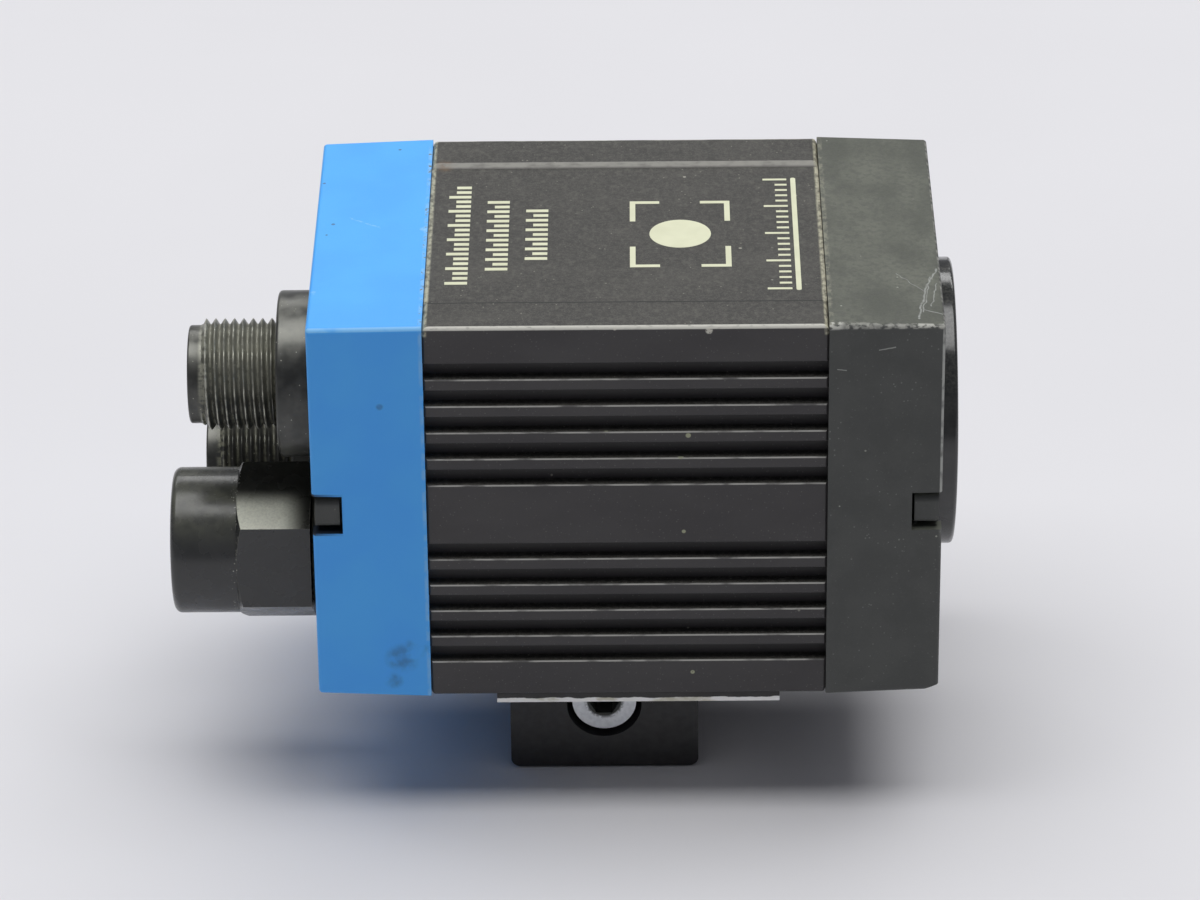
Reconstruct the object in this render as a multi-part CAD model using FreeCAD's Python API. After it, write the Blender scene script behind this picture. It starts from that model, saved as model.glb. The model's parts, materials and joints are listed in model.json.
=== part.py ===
import FreeCAD, Part

import math
import os

from FreeCAD import Vector

# A machine vision camera: a ribbed aluminium housing between two moulded end covers, with a
# round window in front, three M12 connectors behind and a dovetail clamp below.
# Millimetres and degrees. X runs along the optical axis towards the window, Z is up, and the
# origin is the middle of the clamp's mounting face.

# ---- Covers and extruded housing ----
cover_width = 45.0  # square, where each cover meets the housing
cover_draft = 1.5
cover_wall = 2.1
cover_corner_radius = 0.6
cover_end_radius = 0.4
rear_cover_length = 12.1
front_cover_length = 12.1
flange_thickness = 2.0  # inner flange of each cover, against the housing
housing_step = 0.2  # the housing stands this much below the covers
housing_length = 42.4
housing_wall = 4.3
housing_edge_radius = 0.4
housing_end_radius = 0.8  # at both ends, along the top and the bottom
housing_side_chamfer = 0.25  # at both ends, along the ribbed sides
rear_overhang = 18.5  # from the middle of the clamp back to the housing's rear end

# ---- Section of the housing ----
groove_count = 5  # above the middle band of each side, and again below it
groove_width = 1.8
groove_depth = 1.5
rib_width = 1.36
rib_edge_radius = 0.25
middle_band = 7.2
panel_width = 33.0  # sunk panel along the top
panel_depth = 0.5
rail_width = 16.0  # dovetail rail below, at its widest
rail_height = 2.5
rail_angle = 60.0
rail_edge_radius = 0.3
channel_radius = 1.3  # screw channels in the four corners
channel_web = 1.15  # metal between a channel and the cavity

# ---- Snap tongues of the end plates ----
notch_length = 3.2
notch_height = 4.5
tongue_height = 3.5
tongue_sunk = 0.3
tongue_edge_radius = 0.9
end_plate_sunk = 0.3
end_plate_clearance = 0.2
end_plate_corner_radius = 2.3

# ---- Cover screws, M2.5 ----
screw_radius = 1.25
screw_hole_clearance = 0.1
screw_head_radius = 2.1
screw_head_height = 1.6
screw_head_clearance = 0.2
screw_grip = 6.0  # length inside the housing
screw_inset = 2.7  # screw axis to the inside of the cover walls
screw_sunk = 2.2
screw_boss_radius = 2.0
driver_depth = 0.9
driver_flats = 2.0

# ---- Gaskets ----
gasket_width = 0.7
gasket_height = 0.8
gasket_margin = 0.1

# ---- Rear plate and M12 connectors ----
rear_plate_thickness = 3.6
connector_shift_y = 0.7  # inwards from the middle of a quarter of the rear plate
connector_shift_z = 0.1  # outwards from there
collar_radius = 8.9
collar_length = 3.95
collar_edge_radius = 0.4
supply_collar_length = 0.9
supply_collar_radius = 7.4
thread_radius = 5.97
thread_length = 8.25
supply_thread_length = 9.8
tip_radius = 5.25
tip_length = 1.35
tip_edge_radius = 0.25
connector_bore_radius = 4.3
connector_bore_depth = 7.0
connector_stem_radius = 6.5
connector_stem_clearance = 0.1
connector_nut_radius = 7.5
connector_nut_thickness = 2.0
connector_seal_radius = 8.1
connector_seal_width = 0.8
connector_seal_height = 0.8
supply_seal_height = 0.5
supply_seal_radius = 7.2
connector_inner_reach = 7.0  # from the rear plate's face to the connector's inner end
pin_radius = 0.45
pin_circle_radius = 2.75
pin_reach = 5.5
pin_tail = 0.4
signal_pin_count = 7
network_pin_count = 7
supply_pin_count = 4

# ---- Screw cap of the supply connector ----
cap_hex_flats = 15.8
cap_hex_length = 8.0
cap_hex_turn = -6.5
cap_radius = 7.9
cap_grip_length = 7.1
cap_rim_radius = 0.8
cap_hex_chamfer = 0.6  # at the hexagon's corners, next to the round end
cap_gap = 0.1
cap_bore_clearance = 0.1
cap_seal_thickness = 0.8
cap_seal_gap = 0.1

# ---- Status light pipe and focus screw ----
light_pipe_count = 5
light_pipe_radius = 0.8
light_pipe_pitch = 2.3
light_pipe_inset = 4.7  # from the rear plate's edge
light_pipe_clearance = 0.1
light_pipe_bar = 1.0
spindle_shift = 0.35  # inwards from the middle of the fourth quarter of the rear plate
spindle_radius = 1.5
spindle_head_radius = 2.3
spindle_head_length = 1.5
spindle_head_clearance = 0.15
spindle_head_sunk = 0.2
spindle_slot_width = 0.7
spindle_slot_depth = 0.8
spindle_clearance = 0.08
spindle_seal_thickness = 1.0
spindle_collar_radius = 2.3
spindle_collar_length = 1.0

# ---- Boards ----
board_thickness = 1.2
board_clearance = 0.5
connector_board_gap = 0.4  # behind it, the inner ends of the connectors
connector_board_notch = 6.0
bracket_setback = 25.7  # from the housing's front end back to the bracket
bracket_thickness = 2.0
bracket_clearance = 0.1
bracket_window = 18.0
sensor_spacer_length = 1.5
processor_spacer_length = 5.0
spacer_radius = 1.75
spacer_inset_y = 3.5
spacer_inset_z = 9.0
board_screw_radius = 1.0
board_screw_head_radius = 1.7
board_screw_head_height = 1.2
sensor_width = 14.0
sensor_height = 2.2
sensor_glass_width = 12.0
sensor_glass_thickness = 0.5
processor_width = 12.0
processor_height = 1.5
link_width = 12.0
link_height = 4.0
link_drop = 12.0  # below the optical axis
flex_width = 8.0
flex_thickness = 0.3
flex_inset = 1.3
flex_clearance = 0.4

# ---- Lens and its focus carriage ----
optics_rise = 1.3  # lens and window above the middle of the housing
lens_back_gap = 10.8  # from the sensor glass to the lens barrel
barrel_radius = 7.0
barrel_length = 15.5
nose_radius = 5.8
nose_length = 4.1
barrel_wall = 1.3
lens_thickness = 2.2
lens_bulge = 0.7
carriage_width = 26.0
carriage_thickness = 4.0
carriage_setback = 4.0  # from the barrel's rear end
rod_radius = 1.5
rod_spacing = 20.0
rod_clearance = 0.06
focus_travel = 1.0
rod_end_gap = 1.0  # beyond the sleeves at the end of their travel
sleeve_wall = 1.1
sleeve_length = 9.0

# ---- Window and lighting ----
carrier_thickness = 2.5
window_radius = 14.0
window_thickness = 2.0
window_clearance = 0.1
window_lip = 1.0  # the window rests on this much of its rim
window_seal_thickness = 0.4
window_seat_depth = 1.8
ring_radius = 15.6
ring_height = 2.3
ring_edge_radius = 0.45
ring_chamfer = 0.7
ring_spigot_length = 0.95
ring_spigot_wall = 0.8
led_board_gap = 2.8  # behind the window carrier
led_board_inset = 1.2
led_count = 8
led_circle_radius = 10.6
led_width = 2.8
led_height = 1.4
shield_radius = 7.25
shield_wall = 0.75
shield_length = 3.2
pillar_radius = 1.5
pillar_inset = 4.2
pillar_pin_radius = 0.8

# ---- Dovetail clamp ----
clamp_length = 20.6
clamp_depth = 26.6
clamp_height = 14.35
clamp_corner_radius = 1.0
clamp_housing_gap = 0.6
clamp_rail_clearance = 0.05
clamp_split = 0.5
clamp_lift = 0.2
jaw_reach = 1.2  # of the jaw under the widest part of the rail
clamp_screw_height = 8.1
clamp_screw_radius = 1.95
clamp_screw_length = 12.0
clamp_screw_clearance = 0.06
clamp_head_radius = 3.5
clamp_head_height = 4.0
clamp_head_sunk = 0.7
clamp_counterbore_radius = 4.1
clamp_socket_flats = 3.0
clamp_socket_depth = 2.2
guide_pin_radius = 1.0
guide_pin_spacing = 13.0
guide_pin_length = 9.5
guide_pin_reach = 4.5
mounting_hole_radius = 1.65
mounting_hole_depth = 5.5
mounting_hole_spacing = 12.0
mounting_hole_offset = 4.0

# ---- Underside label ----
label_length = 30.4
label_thickness = 1.1
label_start = 7.05  # from the housing's rear end
label_edge_gap = 0.25
label_clamp_gap = 1.75

# ---- Corner of the front cover that has been knocked off ----
chip_length = 1.8
chip_depth = 3.0
chip_height = 0.8

# ---- Worked out from the sizes above ----
housing_width = cover_width - 2 * housing_step
housing_half = housing_width / 2
cavity_half = housing_half - housing_wall
cover_inner_half = cover_width / 2 - cover_wall
screw_offset = cover_inner_half - screw_inset
channel_reach = channel_radius + channel_web - math.sqrt(2) * (screw_offset - cavity_half)
cavity_radius = channel_reach / (math.sqrt(2) - 1)
end_plate_half = cover_inner_half - end_plate_clearance
connector_y = end_plate_half / 2 - connector_shift_y
connector_z = end_plate_half / 2 + connector_shift_z
spindle_offset = end_plate_half / 2 - spindle_shift
screw_hole_radius = screw_radius + screw_hole_clearance

axis_z = clamp_height + clamp_housing_gap + housing_half
rail_bottom_z = clamp_height + clamp_housing_gap - rail_height
rail_slope = 1 / math.tan(math.radians(rail_angle))
rail_neck_half = rail_width / 2 - rail_height * rail_slope

rear_joint_x = -rear_overhang
front_joint_x = rear_joint_x + housing_length
rear_x = rear_joint_x - rear_cover_length
front_x = front_joint_x + front_cover_length
rear_plate_x = rear_x + end_plate_sunk
rear_plate_inner_x = rear_plate_x + rear_plate_thickness
rear_flange_x = rear_joint_x - flange_thickness
front_flange_x = front_joint_x + flange_thickness
carrier_front_x = front_x - end_plate_sunk
carrier_back_x = carrier_front_x - carrier_thickness

connector_inner_x = rear_plate_x + connector_inner_reach
connector_board_x = connector_inner_x + connector_board_gap
bracket_x = front_joint_x - bracket_setback
sensor_board_x = bracket_x - sensor_spacer_length - board_thickness
processor_board_x = sensor_board_x - processor_spacer_length - board_thickness
sensor_front_x = sensor_board_x + board_thickness + sensor_height
barrel_x = sensor_front_x + sensor_glass_thickness + lens_back_gap
carriage_x = barrel_x + carriage_setback
sleeve_x = carriage_x + carriage_thickness / 2 - sleeve_length / 2
rod_end_x = sleeve_x + sleeve_length + focus_travel + rod_end_gap
led_board_x = carrier_back_x - led_board_gap - board_thickness
flex_drop = cavity_half - flex_inset
label_width = housing_half - label_edge_gap - clamp_depth / 2 - label_clamp_gap
window_x = carrier_front_x - window_seat_depth + window_seal_thickness
cap_x = rear_plate_x - supply_collar_length - cap_gap
supply_tip_x = rear_plate_x - supply_collar_length - supply_thread_length - tip_length
jaw_inner_y = -rail_width / 2 + jaw_reach
base_y = jaw_inner_y + clamp_split
corner_signs = [(-1, -1), (-1, 1), (1, -1), (1, 1)]


# ---- Helpers. Sections are given by y and by z above the optical axis ----
def box(x0, x1, y0, y1, z0, z1):
    """A block between two corners, with z above the optical axis."""
    return Part.makeBox(x1 - x0, y1 - y0, z1 - z0, Vector(x0, y0, axis_z + z0))


def rod(x0, x1, y, z, radius):
    """A cylinder along X."""
    return Part.makeCylinder(radius, x1 - x0, Vector(x0, y, axis_z + z), Vector(1, 0, 0))


def tube(x0, x1, y, z, outer_radius, inner_radius):
    """A hollow cylinder along X."""
    return rod(x0, x1, y, z, outer_radius).cut(rod(x0, x1, y, z, inner_radius))


def rounded_wire(points, radii):
    """A closed wire through the points, with a tangent arc of the given radius at each."""
    edges = []
    ends = []
    for i, corner in enumerate(points):
        back = points[i - 1].sub(corner).normalize()
        onward = points[(i + 1) % len(points)].sub(corner).normalize()
        half_angle = back.getAngle(onward) / 2
        if radii[i] == 0:
            ends.append((corner, corner))
            continue
        reach = radii[i] / math.tan(half_angle)
        inward = back.add(onward).normalize()
        start = corner.add(back.multiply(reach))
        end = corner.add(onward.multiply(reach))
        middle = corner.add(inward.multiply(radii[i] / math.sin(half_angle) - radii[i]))
        edges.append(Part.Arc(start, middle, end).toShape())
        ends.append((start, end))
    for i, (start, _) in enumerate(ends):
        previous_end = ends[i - 1][1]
        if previous_end.distanceToPoint(start) > 1e-6:
            edges.append(Part.LineSegment(previous_end, start).toShape())
    return Part.Wire(Part.__sortEdges__(edges))


def section(x, corners):
    """A closed outline across the housing, from corners (y, z, radius)."""
    points = [Vector(x, y, axis_z + z) for y, z, _ in corners]
    return rounded_wire(points, [radius for _, _, radius in corners])


def prism(x0, x1, corners):
    """An outline across the housing, drawn out along X."""
    return Part.Face(section(x0, corners)).extrude(Vector(x1 - x0, 0, 0))


def square_corners(half, radius):
    """The corners of a square about the optical axis."""
    return [(-half, -half, radius), (half, -half, radius), (half, half, radius), (-half, half, radius)]


def square_prism(x0, x1, half, radius):
    """A square bar with rounded edges, about the optical axis."""
    return prism(x0, x1, square_corners(half, radius))


def hexagon(x0, x1, y, z, flats, turn):
    """A six-sided bar along X. Its first corner points up, turned about X by turn degrees."""
    corners = []
    for i in range(6):
        angle = math.radians(turn + 60 * i)
        reach = flats / math.sqrt(3)
        corners.append((y - reach * math.sin(angle), z + reach * math.cos(angle), 0))
    return prism(x0, x1, corners)


def turned(y, z, profile):
    """A solid of revolution about a line along X, from corners (x, radius) or, where the
    corner is rounded, (x, radius, rounding)."""
    points = [Vector(x, y, axis_z + z + radius) for x, radius, *_ in profile]
    roundings = [rest[0] if rest else 0 for _, _, *rest in profile]
    face = Part.Face(rounded_wire(points, roundings))
    return face.revolve(Vector(0, y, axis_z + z), Vector(1, 0, 0), 360)


def joined(shapes):
    """One solid from shapes that meet."""
    return shapes[0].fuse(shapes[1:]).removeSplitter()


def at_corners(make, y, z):
    """The same thing made at the four places (±y, ±z)."""
    return [make(sign_y * y, sign_z * z) for sign_y, sign_z in corner_signs]


# ---- Housing and covers ----
def rib_corners():
    """The ribbed right-hand side of the section, from its lower edge to its upper edge."""
    corners = []
    pitch = groove_width + rib_width
    lowest = -(middle_band / 2 + groove_count * groove_width + (groove_count - 1) * rib_width)
    first_above = middle_band / 2
    starts = [lowest + pitch * i for i in range(groove_count)]
    starts += [first_above + pitch * i for i in range(groove_count)]
    for start in starts:
        stop = start + groove_width
        inner = housing_half - groove_depth
        corners.append((housing_half, start, rib_edge_radius))
        corners.append((inner, start, rib_edge_radius))
        corners.append((inner, stop, rib_edge_radius))
        corners.append((housing_half, stop, rib_edge_radius))
    return corners


def housing_corners():
    """The outer section of the housing: rail below, ribs at both sides, sunk panel on top."""
    right = [(rail_width / 2, -housing_half - rail_height, rail_edge_radius)]
    right.append((rail_neck_half, -housing_half, rail_edge_radius))
    right.append((housing_half, -housing_half, housing_edge_radius))
    right += rib_corners()
    right.append((housing_half, housing_half, housing_edge_radius))
    right.append((panel_width / 2, housing_half, rib_edge_radius / 2))
    right.append((panel_width / 2 - panel_depth, housing_half - panel_depth, rib_edge_radius / 2))
    left = [(-y, z, radius) for y, z, radius in reversed(right)]
    return right + left


def housing_envelope():
    """The housing's length: ends rounded above and below, eased at the sides, room for the rail."""
    half = housing_half
    ease = housing_side_chamfer
    bottom = axis_z - half
    top = axis_z + half
    side_points = [
        Vector(rear_joint_x, -half, bottom),
        Vector(front_joint_x, -half, bottom),
        Vector(front_joint_x, -half, top),
        Vector(rear_joint_x, -half, top),
    ]
    side = Part.Face(rounded_wire(side_points, [housing_end_radius] * 4))
    plan_points = [
        Vector(rear_joint_x, -half + ease, bottom),
        Vector(rear_joint_x + ease, -half, bottom),
        Vector(front_joint_x - ease, -half, bottom),
        Vector(front_joint_x, -half + ease, bottom),
        Vector(front_joint_x, half - ease, bottom),
        Vector(front_joint_x - ease, half, bottom),
        Vector(rear_joint_x + ease, half, bottom),
        Vector(rear_joint_x, half - ease, bottom),
    ]
    plan = Part.Face(Part.makePolygon(plan_points + [plan_points[0]]))
    bar = side.extrude(Vector(0, 2 * half, 0)).common(plan.extrude(Vector(0, 0, 2 * half)))
    rail_half = rail_width / 2
    rail_top = -half + housing_end_radius
    rail = box(rear_joint_x, front_joint_x, -rail_half, rail_half, -half - rail_height, rail_top)
    return bar.fuse(rail)


def main_housing():
    """The extrusion, with its cavity and four screw channels."""
    shape = prism(rear_joint_x, front_joint_x, housing_corners()).common(housing_envelope())
    shape = shape.cut(square_prism(rear_joint_x, front_joint_x, cavity_half, cavity_radius))
    channels = at_corners(
        lambda y, z: rod(rear_joint_x, front_joint_x, y, z, channel_radius),
        screw_offset,
        screw_offset,
    )
    return shape.cut(channels)


def cover_shell(joint_x, outer_x):
    """The drafted outside of a cover, with its outer rim rounded."""
    shrink = abs(outer_x - joint_x) * math.tan(math.radians(cover_draft))
    joint_wire = section(joint_x, square_corners(cover_width / 2, cover_corner_radius))
    outer_wire = section(outer_x, square_corners(cover_width / 2 - shrink, cover_corner_radius))
    shell = Part.makeLoft([joint_wire, outer_wire], True)
    rim = [edge for edge in shell.Edges if abs(edge.BoundBox.XMin - outer_x) < 1e-4
           and abs(edge.BoundBox.XMax - outer_x) < 1e-4]
    return shell.makeFillet(cover_end_radius, rim)


def cover_frame(joint_x, flange_x, outer_x):
    """A cover as an open frame: drafted walls, and a flange that seats on the housing."""
    shell = cover_shell(joint_x, outer_x)
    inside = square_prism(
        min(flange_x, outer_x), max(flange_x, outer_x), cover_inner_half, end_plate_corner_radius
    )
    opening = square_prism(
        min(joint_x, flange_x), max(joint_x, flange_x), cavity_half, cavity_radius
    )
    holes = at_corners(
        lambda y, z: rod(min(joint_x, flange_x), max(joint_x, flange_x), y, z, screw_hole_radius),
        screw_offset,
        screw_offset,
    )
    direction = 1 if outer_x > joint_x else -1
    notch_x = sorted([outer_x, outer_x - direction * notch_length])
    reach = cover_width / 2
    notch = box(notch_x[0], notch_x[1], -reach, reach, -notch_height / 2, notch_height / 2)
    return shell.cut([inside, opening, notch] + holes)


def gasket(joint_x, direction):
    """A flat ring in the cover's flange, sealing it to the housing."""
    inner = gasket_margin
    outer = gasket_margin + gasket_width
    x0, x1 = sorted([joint_x, joint_x + direction * gasket_height])
    ring = square_prism(x0, x1, cavity_half + outer, cavity_radius + outer)
    return ring.cut(square_prism(x0, x1, cavity_half + inner, cavity_radius + inner))


def rear_frame():
    """The coloured rear cover."""
    frame = cover_frame(rear_joint_x, rear_flange_x, rear_x)
    return frame.cut(gasket(rear_joint_x, -1))


def knocked_corner():
    """A block laid on the break of the front cover's lower near corner."""
    shrink = front_cover_length * math.tan(math.radians(cover_draft))
    edge = cover_width / 2 - shrink
    size = 4 * chip_length
    outward = Vector(1 / chip_length, -1 / chip_depth, -1 / chip_height)
    block = Part.makeBox(size, size, size, Vector(-size / 2, -size / 2, 0))
    on_break = Vector(front_x - chip_length, -edge, axis_z - edge)
    block.Placement = FreeCAD.Placement(on_break, FreeCAD.Rotation(Vector(0, 0, 1), outward))
    return block


def front_frame():
    """The black front cover."""
    frame = cover_frame(front_joint_x, front_flange_x, front_x)
    return frame.cut([gasket(front_joint_x, 1), knocked_corner()])


def tongues(outer_x, direction):
    """The two snap tongues that lie in the notches of a cover."""
    shrink = front_cover_length * math.tan(math.radians(cover_draft))
    reach = cover_width / 2 - shrink - tongue_sunk
    x0, x1 = sorted([outer_x, outer_x - direction * (notch_length - 2 * end_plate_sunk)])
    half = tongue_height / 2
    start = end_plate_half - cover_wall
    radius = tongue_edge_radius
    pair = []
    for side in (-1, 1):
        corners = [(side * start, -half, 0), (side * reach, -half, radius)]
        corners += [(side * reach, half, radius), (side * start, half, 0)]
        pair.append(prism(x0, x1, corners))
    return pair


def cover_screw(head_x, end_x, y, z):
    """A cap screw along X, its head outermost at head_x and its thread ending at end_x."""
    direction = 1 if end_x > head_x else -1
    seat_x = head_x + direction * screw_head_height
    driver_x = head_x + direction * driver_depth
    head = rod(min(head_x, seat_x), max(head_x, seat_x), y, z, screw_head_radius)
    shank = rod(min(seat_x, end_x), max(seat_x, end_x), y, z, screw_radius)
    driver = hexagon(min(head_x, driver_x), max(head_x, driver_x), y, z, driver_flats, 0)
    return joined([head, shank]).cut(driver)


def rear_screws():
    """Four screws through the rear plate and cover into the housing."""
    head_x = rear_plate_x + screw_sunk - screw_head_height
    end_x = rear_joint_x + screw_grip
    return at_corners(lambda y, z: cover_screw(head_x, end_x, y, z), screw_offset, screw_offset)


def front_screws():
    """Four screws through the front cover's flange into the housing."""
    head_x = front_flange_x + screw_head_height
    end_x = front_joint_x - screw_grip
    return at_corners(lambda y, z: cover_screw(head_x, end_x, y, z), screw_offset, screw_offset)


# ---- Rear plate, connectors and cap ----
def pipe_places():
    """Where the status light pipes stand, beside each other near the plate's upper edge."""
    first = spindle_offset - light_pipe_pitch * (light_pipe_count - 1) / 2
    z = end_plate_half - light_pipe_inset
    return [(first + light_pipe_pitch * i, z) for i in range(light_pipe_count)]


def rear_plate():
    """The plate that carries the connectors, with bosses that press the cover on the housing."""
    plate = square_prism(
        rear_plate_x, rear_plate_inner_x, end_plate_half, end_plate_corner_radius
    )
    bosses = at_corners(
        lambda y, z: rod(rear_plate_inner_x, rear_flange_x, y, z, screw_boss_radius),
        screw_offset,
        screw_offset,
    )
    shape = joined([plate] + bosses + tongues(rear_plate_x, -1))
    cuts = at_corners(
        lambda y, z: rod(rear_plate_x, rear_flange_x, y, z, screw_hole_radius),
        screw_offset,
        screw_offset,
    )
    cuts += at_corners(
        lambda y, z: rod(
            rear_plate_x, rear_plate_x + screw_sunk, y, z, screw_head_radius + screw_head_clearance
        ),
        screw_offset,
        screw_offset,
    )
    stem_hole = connector_stem_radius + connector_stem_clearance
    for y, z in [(-1, 1), (1, -1), (-1, -1)]:
        centre = (y * connector_y, z * connector_z)
        cuts.append(rod(rear_plate_x, rear_plate_inner_x, centre[0], centre[1], stem_hole))
    for y, z in pipe_places():
        hole = light_pipe_radius + light_pipe_clearance
        cuts.append(rod(rear_plate_x, rear_plate_inner_x, y, z, hole))
    return shape.cut(cuts).cut(spindle_bore())


def spindle_bore():
    """The stepped hole in the rear plate for the focus screw and its seal."""
    wide_end = rear_plate_x + spindle_head_sunk + spindle_head_length + spindle_seal_thickness
    wide = rod(
        rear_plate_x,
        wide_end,
        spindle_offset,
        spindle_offset,
        spindle_head_radius + spindle_head_clearance,
    )
    narrow = rod(
        rear_plate_x,
        rear_plate_inner_x,
        spindle_offset,
        spindle_offset,
        spindle_radius + spindle_clearance,
    )
    return wide.fuse(narrow)


def pin_places(y, z, count):
    """One contact in the middle of a connector and the others on a circle."""
    places = [(y, z)]
    for i in range(count):
        angle = 2 * math.pi * (i + 0.5) / count
        places.append((y + pin_circle_radius * math.cos(angle), z + pin_circle_radius * math.sin(angle)))
    return places


def contacts(tip_x, y, z, count):
    """The pins of a connector, soldered through the connector board."""
    start = tip_x + connector_bore_depth - pin_reach
    end = connector_board_x + board_thickness + pin_tail
    return [rod(start, end, pin_y, pin_z, pin_radius) for pin_y, pin_z in pin_places(y, z, count)]


def connector_seal(y, z, radius, height):
    """A sealing ring under the collar of a connector."""
    return tube(rear_plate_x - height, rear_plate_x, y, z, radius, radius - connector_seal_width)


def connector_shell(y, z, collar, collar_length, length, seal):
    """The metal body: collar, threaded end, plain tip and the stem behind the plate."""
    thread_x = rear_plate_x - collar_length
    tip_x = thread_x - length
    end_x = tip_x - tip_length
    bore_end_x = connector_inner_x
    profile = [(end_x, connector_bore_radius), (end_x, tip_radius, tip_edge_radius)]
    profile += [(tip_x, tip_radius), (tip_x, thread_radius), (thread_x, thread_radius)]
    profile += [(thread_x, collar, collar_edge_radius)]
    profile += [(rear_plate_x, collar), (rear_plate_x, connector_stem_radius)]
    profile += [(bore_end_x, connector_stem_radius), (bore_end_x, connector_bore_radius)]
    return turned(y, z, profile).cut(seal)


def connector_insert(tip_x, y, z, pins):
    """The insulator that fills the bore behind the pins."""
    start = tip_x + connector_bore_depth
    return rod(start, connector_inner_x, y, z, connector_bore_radius).cut(pins)


def connector_nut(y, z):
    """The ring nut that holds a connector to the rear plate."""
    x1 = rear_plate_inner_x + connector_nut_thickness
    return tube(rear_plate_inner_x, x1, y, z, connector_nut_radius, connector_stem_radius)


def connector(name, sign_y, sign_z, collar, collar_length, length, count, seal_size):
    """All pieces of one connector, by name."""
    y = sign_y * connector_y
    z = sign_z * connector_z
    tip_x = rear_plate_x - collar_length - length - tip_length
    seal = connector_seal(y, z, seal_size[0], seal_size[1])
    pins = contacts(tip_x, y, z, count)
    return {
        name + "_connector_shell": connector_shell(y, z, collar, collar_length, length, seal),
        name + "_connector_insert": connector_insert(tip_x, y, z, pins),
        name + "_connector_pins": Part.makeCompound(pins),
        name + "_connector_seal": seal,
        name + "_connector_nut": connector_nut(y, z),
    }


def connectors():
    """The signal, network and supply connectors."""
    seal = (connector_seal_radius, connector_seal_height)
    supply_seal = (supply_seal_radius, supply_seal_height)
    pieces = connector(
        "signal", -1, 1, collar_radius, collar_length, thread_length, signal_pin_count, seal
    )
    pieces.update(
        connector(
            "network", 1, -1, collar_radius, collar_length, thread_length, network_pin_count, seal
        )
    )
    pieces.update(
        connector(
            "supply", -1, -1, supply_collar_radius, supply_collar_length, supply_thread_length,
            supply_pin_count, supply_seal,
        )
    )
    return pieces


def cap_seal():
    """The disc inside the cap that closes the supply connector."""
    x1 = supply_tip_x - cap_seal_gap
    radius = thread_radius
    return rod(x1 - cap_seal_thickness, x1, -connector_y, -connector_z, radius)


def screw_cap():
    """The cap: a hexagon for the spanner, then a round end, with a blind bore over the thread."""
    y = -connector_y
    z = -connector_z
    hex_end = cap_x - cap_hex_length
    end = hex_end - cap_grip_length
    hexagon_part = hexagon(hex_end, cap_x, y, z, cap_hex_flats, cap_hex_turn)
    corner_cone = turned(
        y,
        z,
        [
            (hex_end, 0),
            (hex_end, cap_hex_flats / 2),
            (hex_end + cap_hex_chamfer, cap_hex_flats / math.sqrt(3)),
            (cap_x, cap_hex_flats / math.sqrt(3)),
            (cap_x, 0),
        ],
    )
    grip_profile = [(end, 0), (end, cap_radius, cap_rim_radius), (hex_end, cap_radius)]
    grip = turned(y, z, grip_profile + [(hex_end, 0)])
    bore_end = supply_tip_x - cap_seal_gap - cap_seal_thickness - cap_seal_gap
    bore = rod(bore_end, cap_x, y, z, thread_radius + cap_bore_clearance)
    return joined([hexagon_part.common(corner_cone), grip]).cut(bore)


def status_light_pipe():
    """Clear rods that carry the status lights to the rear face, joined by a bar."""
    end = connector_board_x - connector_board_gap
    places = pipe_places()
    pipes = [rod(rear_plate_x, end, y, z, light_pipe_radius) for y, z in places]
    z = places[0][1]
    bar = box(
        rear_plate_inner_x,
        rear_plate_inner_x + light_pipe_bar,
        places[0][0],
        places[-1][0],
        z - light_pipe_radius / 2,
        z + light_pipe_radius / 2,
    )
    return joined([bar] + pipes)


# ---- Boards ----
def board_outline(x, thickness, margin):
    """A plate that fills the housing's cavity but for a margin."""
    return square_prism(x, x + thickness, cavity_half - margin, cavity_radius - margin)


def spindle_hole(x0, x1, clearance):
    """A hole for the focus spindle."""
    radius = spindle_radius + clearance
    return rod(x0, x1, spindle_offset, spindle_offset, radius)


def flex_slot(x0, x1):
    """The gap in a plate's lower edge for the flat lead of the lighting board."""
    half = flex_width / 2 + flex_clearance
    top = -flex_drop + flex_thickness + flex_clearance
    return box(x0, x1, -half, half, -cavity_half, top)


def spacer_y():
    return cavity_half - spacer_inset_y


def board_screws():
    """Four screws through both boards and their spacers into the bracket."""
    def screw(y, z):
        head_x = processor_board_x - board_screw_head_height
        head = rod(head_x, processor_board_x, y, z, board_screw_head_radius)
        shank = rod(processor_board_x, bracket_x + bracket_thickness, y, z, board_screw_radius)
        return joined([head, shank])

    return at_corners(screw, spacer_y(), spacer_inset_z)


def board_spacers():
    """Sleeves between the bracket, the sensor board and the processor board."""
    def pair(y, z):
        front_x = sensor_board_x + board_thickness
        back_x = processor_board_x + board_thickness
        front = tube(front_x, bracket_x, y, z, spacer_radius, board_screw_radius)
        back = tube(back_x, sensor_board_x, y, z, spacer_radius, board_screw_radius)
        return [front, back]

    return sum(at_corners(pair, spacer_y(), spacer_inset_z), [])


def sensor_board():
    x1 = sensor_board_x + board_thickness
    board = board_outline(sensor_board_x, board_thickness, board_clearance)
    holes = [spindle_hole(sensor_board_x, x1, board_clearance), flex_slot(sensor_board_x, x1)]
    return board.cut(holes + board_screws())


def image_sensor():
    x0 = sensor_board_x + board_thickness
    half = sensor_width / 2
    return box(x0, sensor_front_x, -half, half, optics_rise - half, optics_rise + half)


def sensor_glass():
    half = sensor_glass_width / 2
    x1 = sensor_front_x + sensor_glass_thickness
    return box(sensor_front_x, x1, -half, half, optics_rise - half, optics_rise + half)


def processor_board():
    x1 = processor_board_x + board_thickness
    board = board_outline(processor_board_x, board_thickness, board_clearance)
    return board.cut([spindle_hole(processor_board_x, x1, board_clearance)] + board_screws())


def processor_chip():
    half = processor_width / 2
    return box(processor_board_x - processor_height, processor_board_x, -half, half, -half / 2, half)


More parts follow.
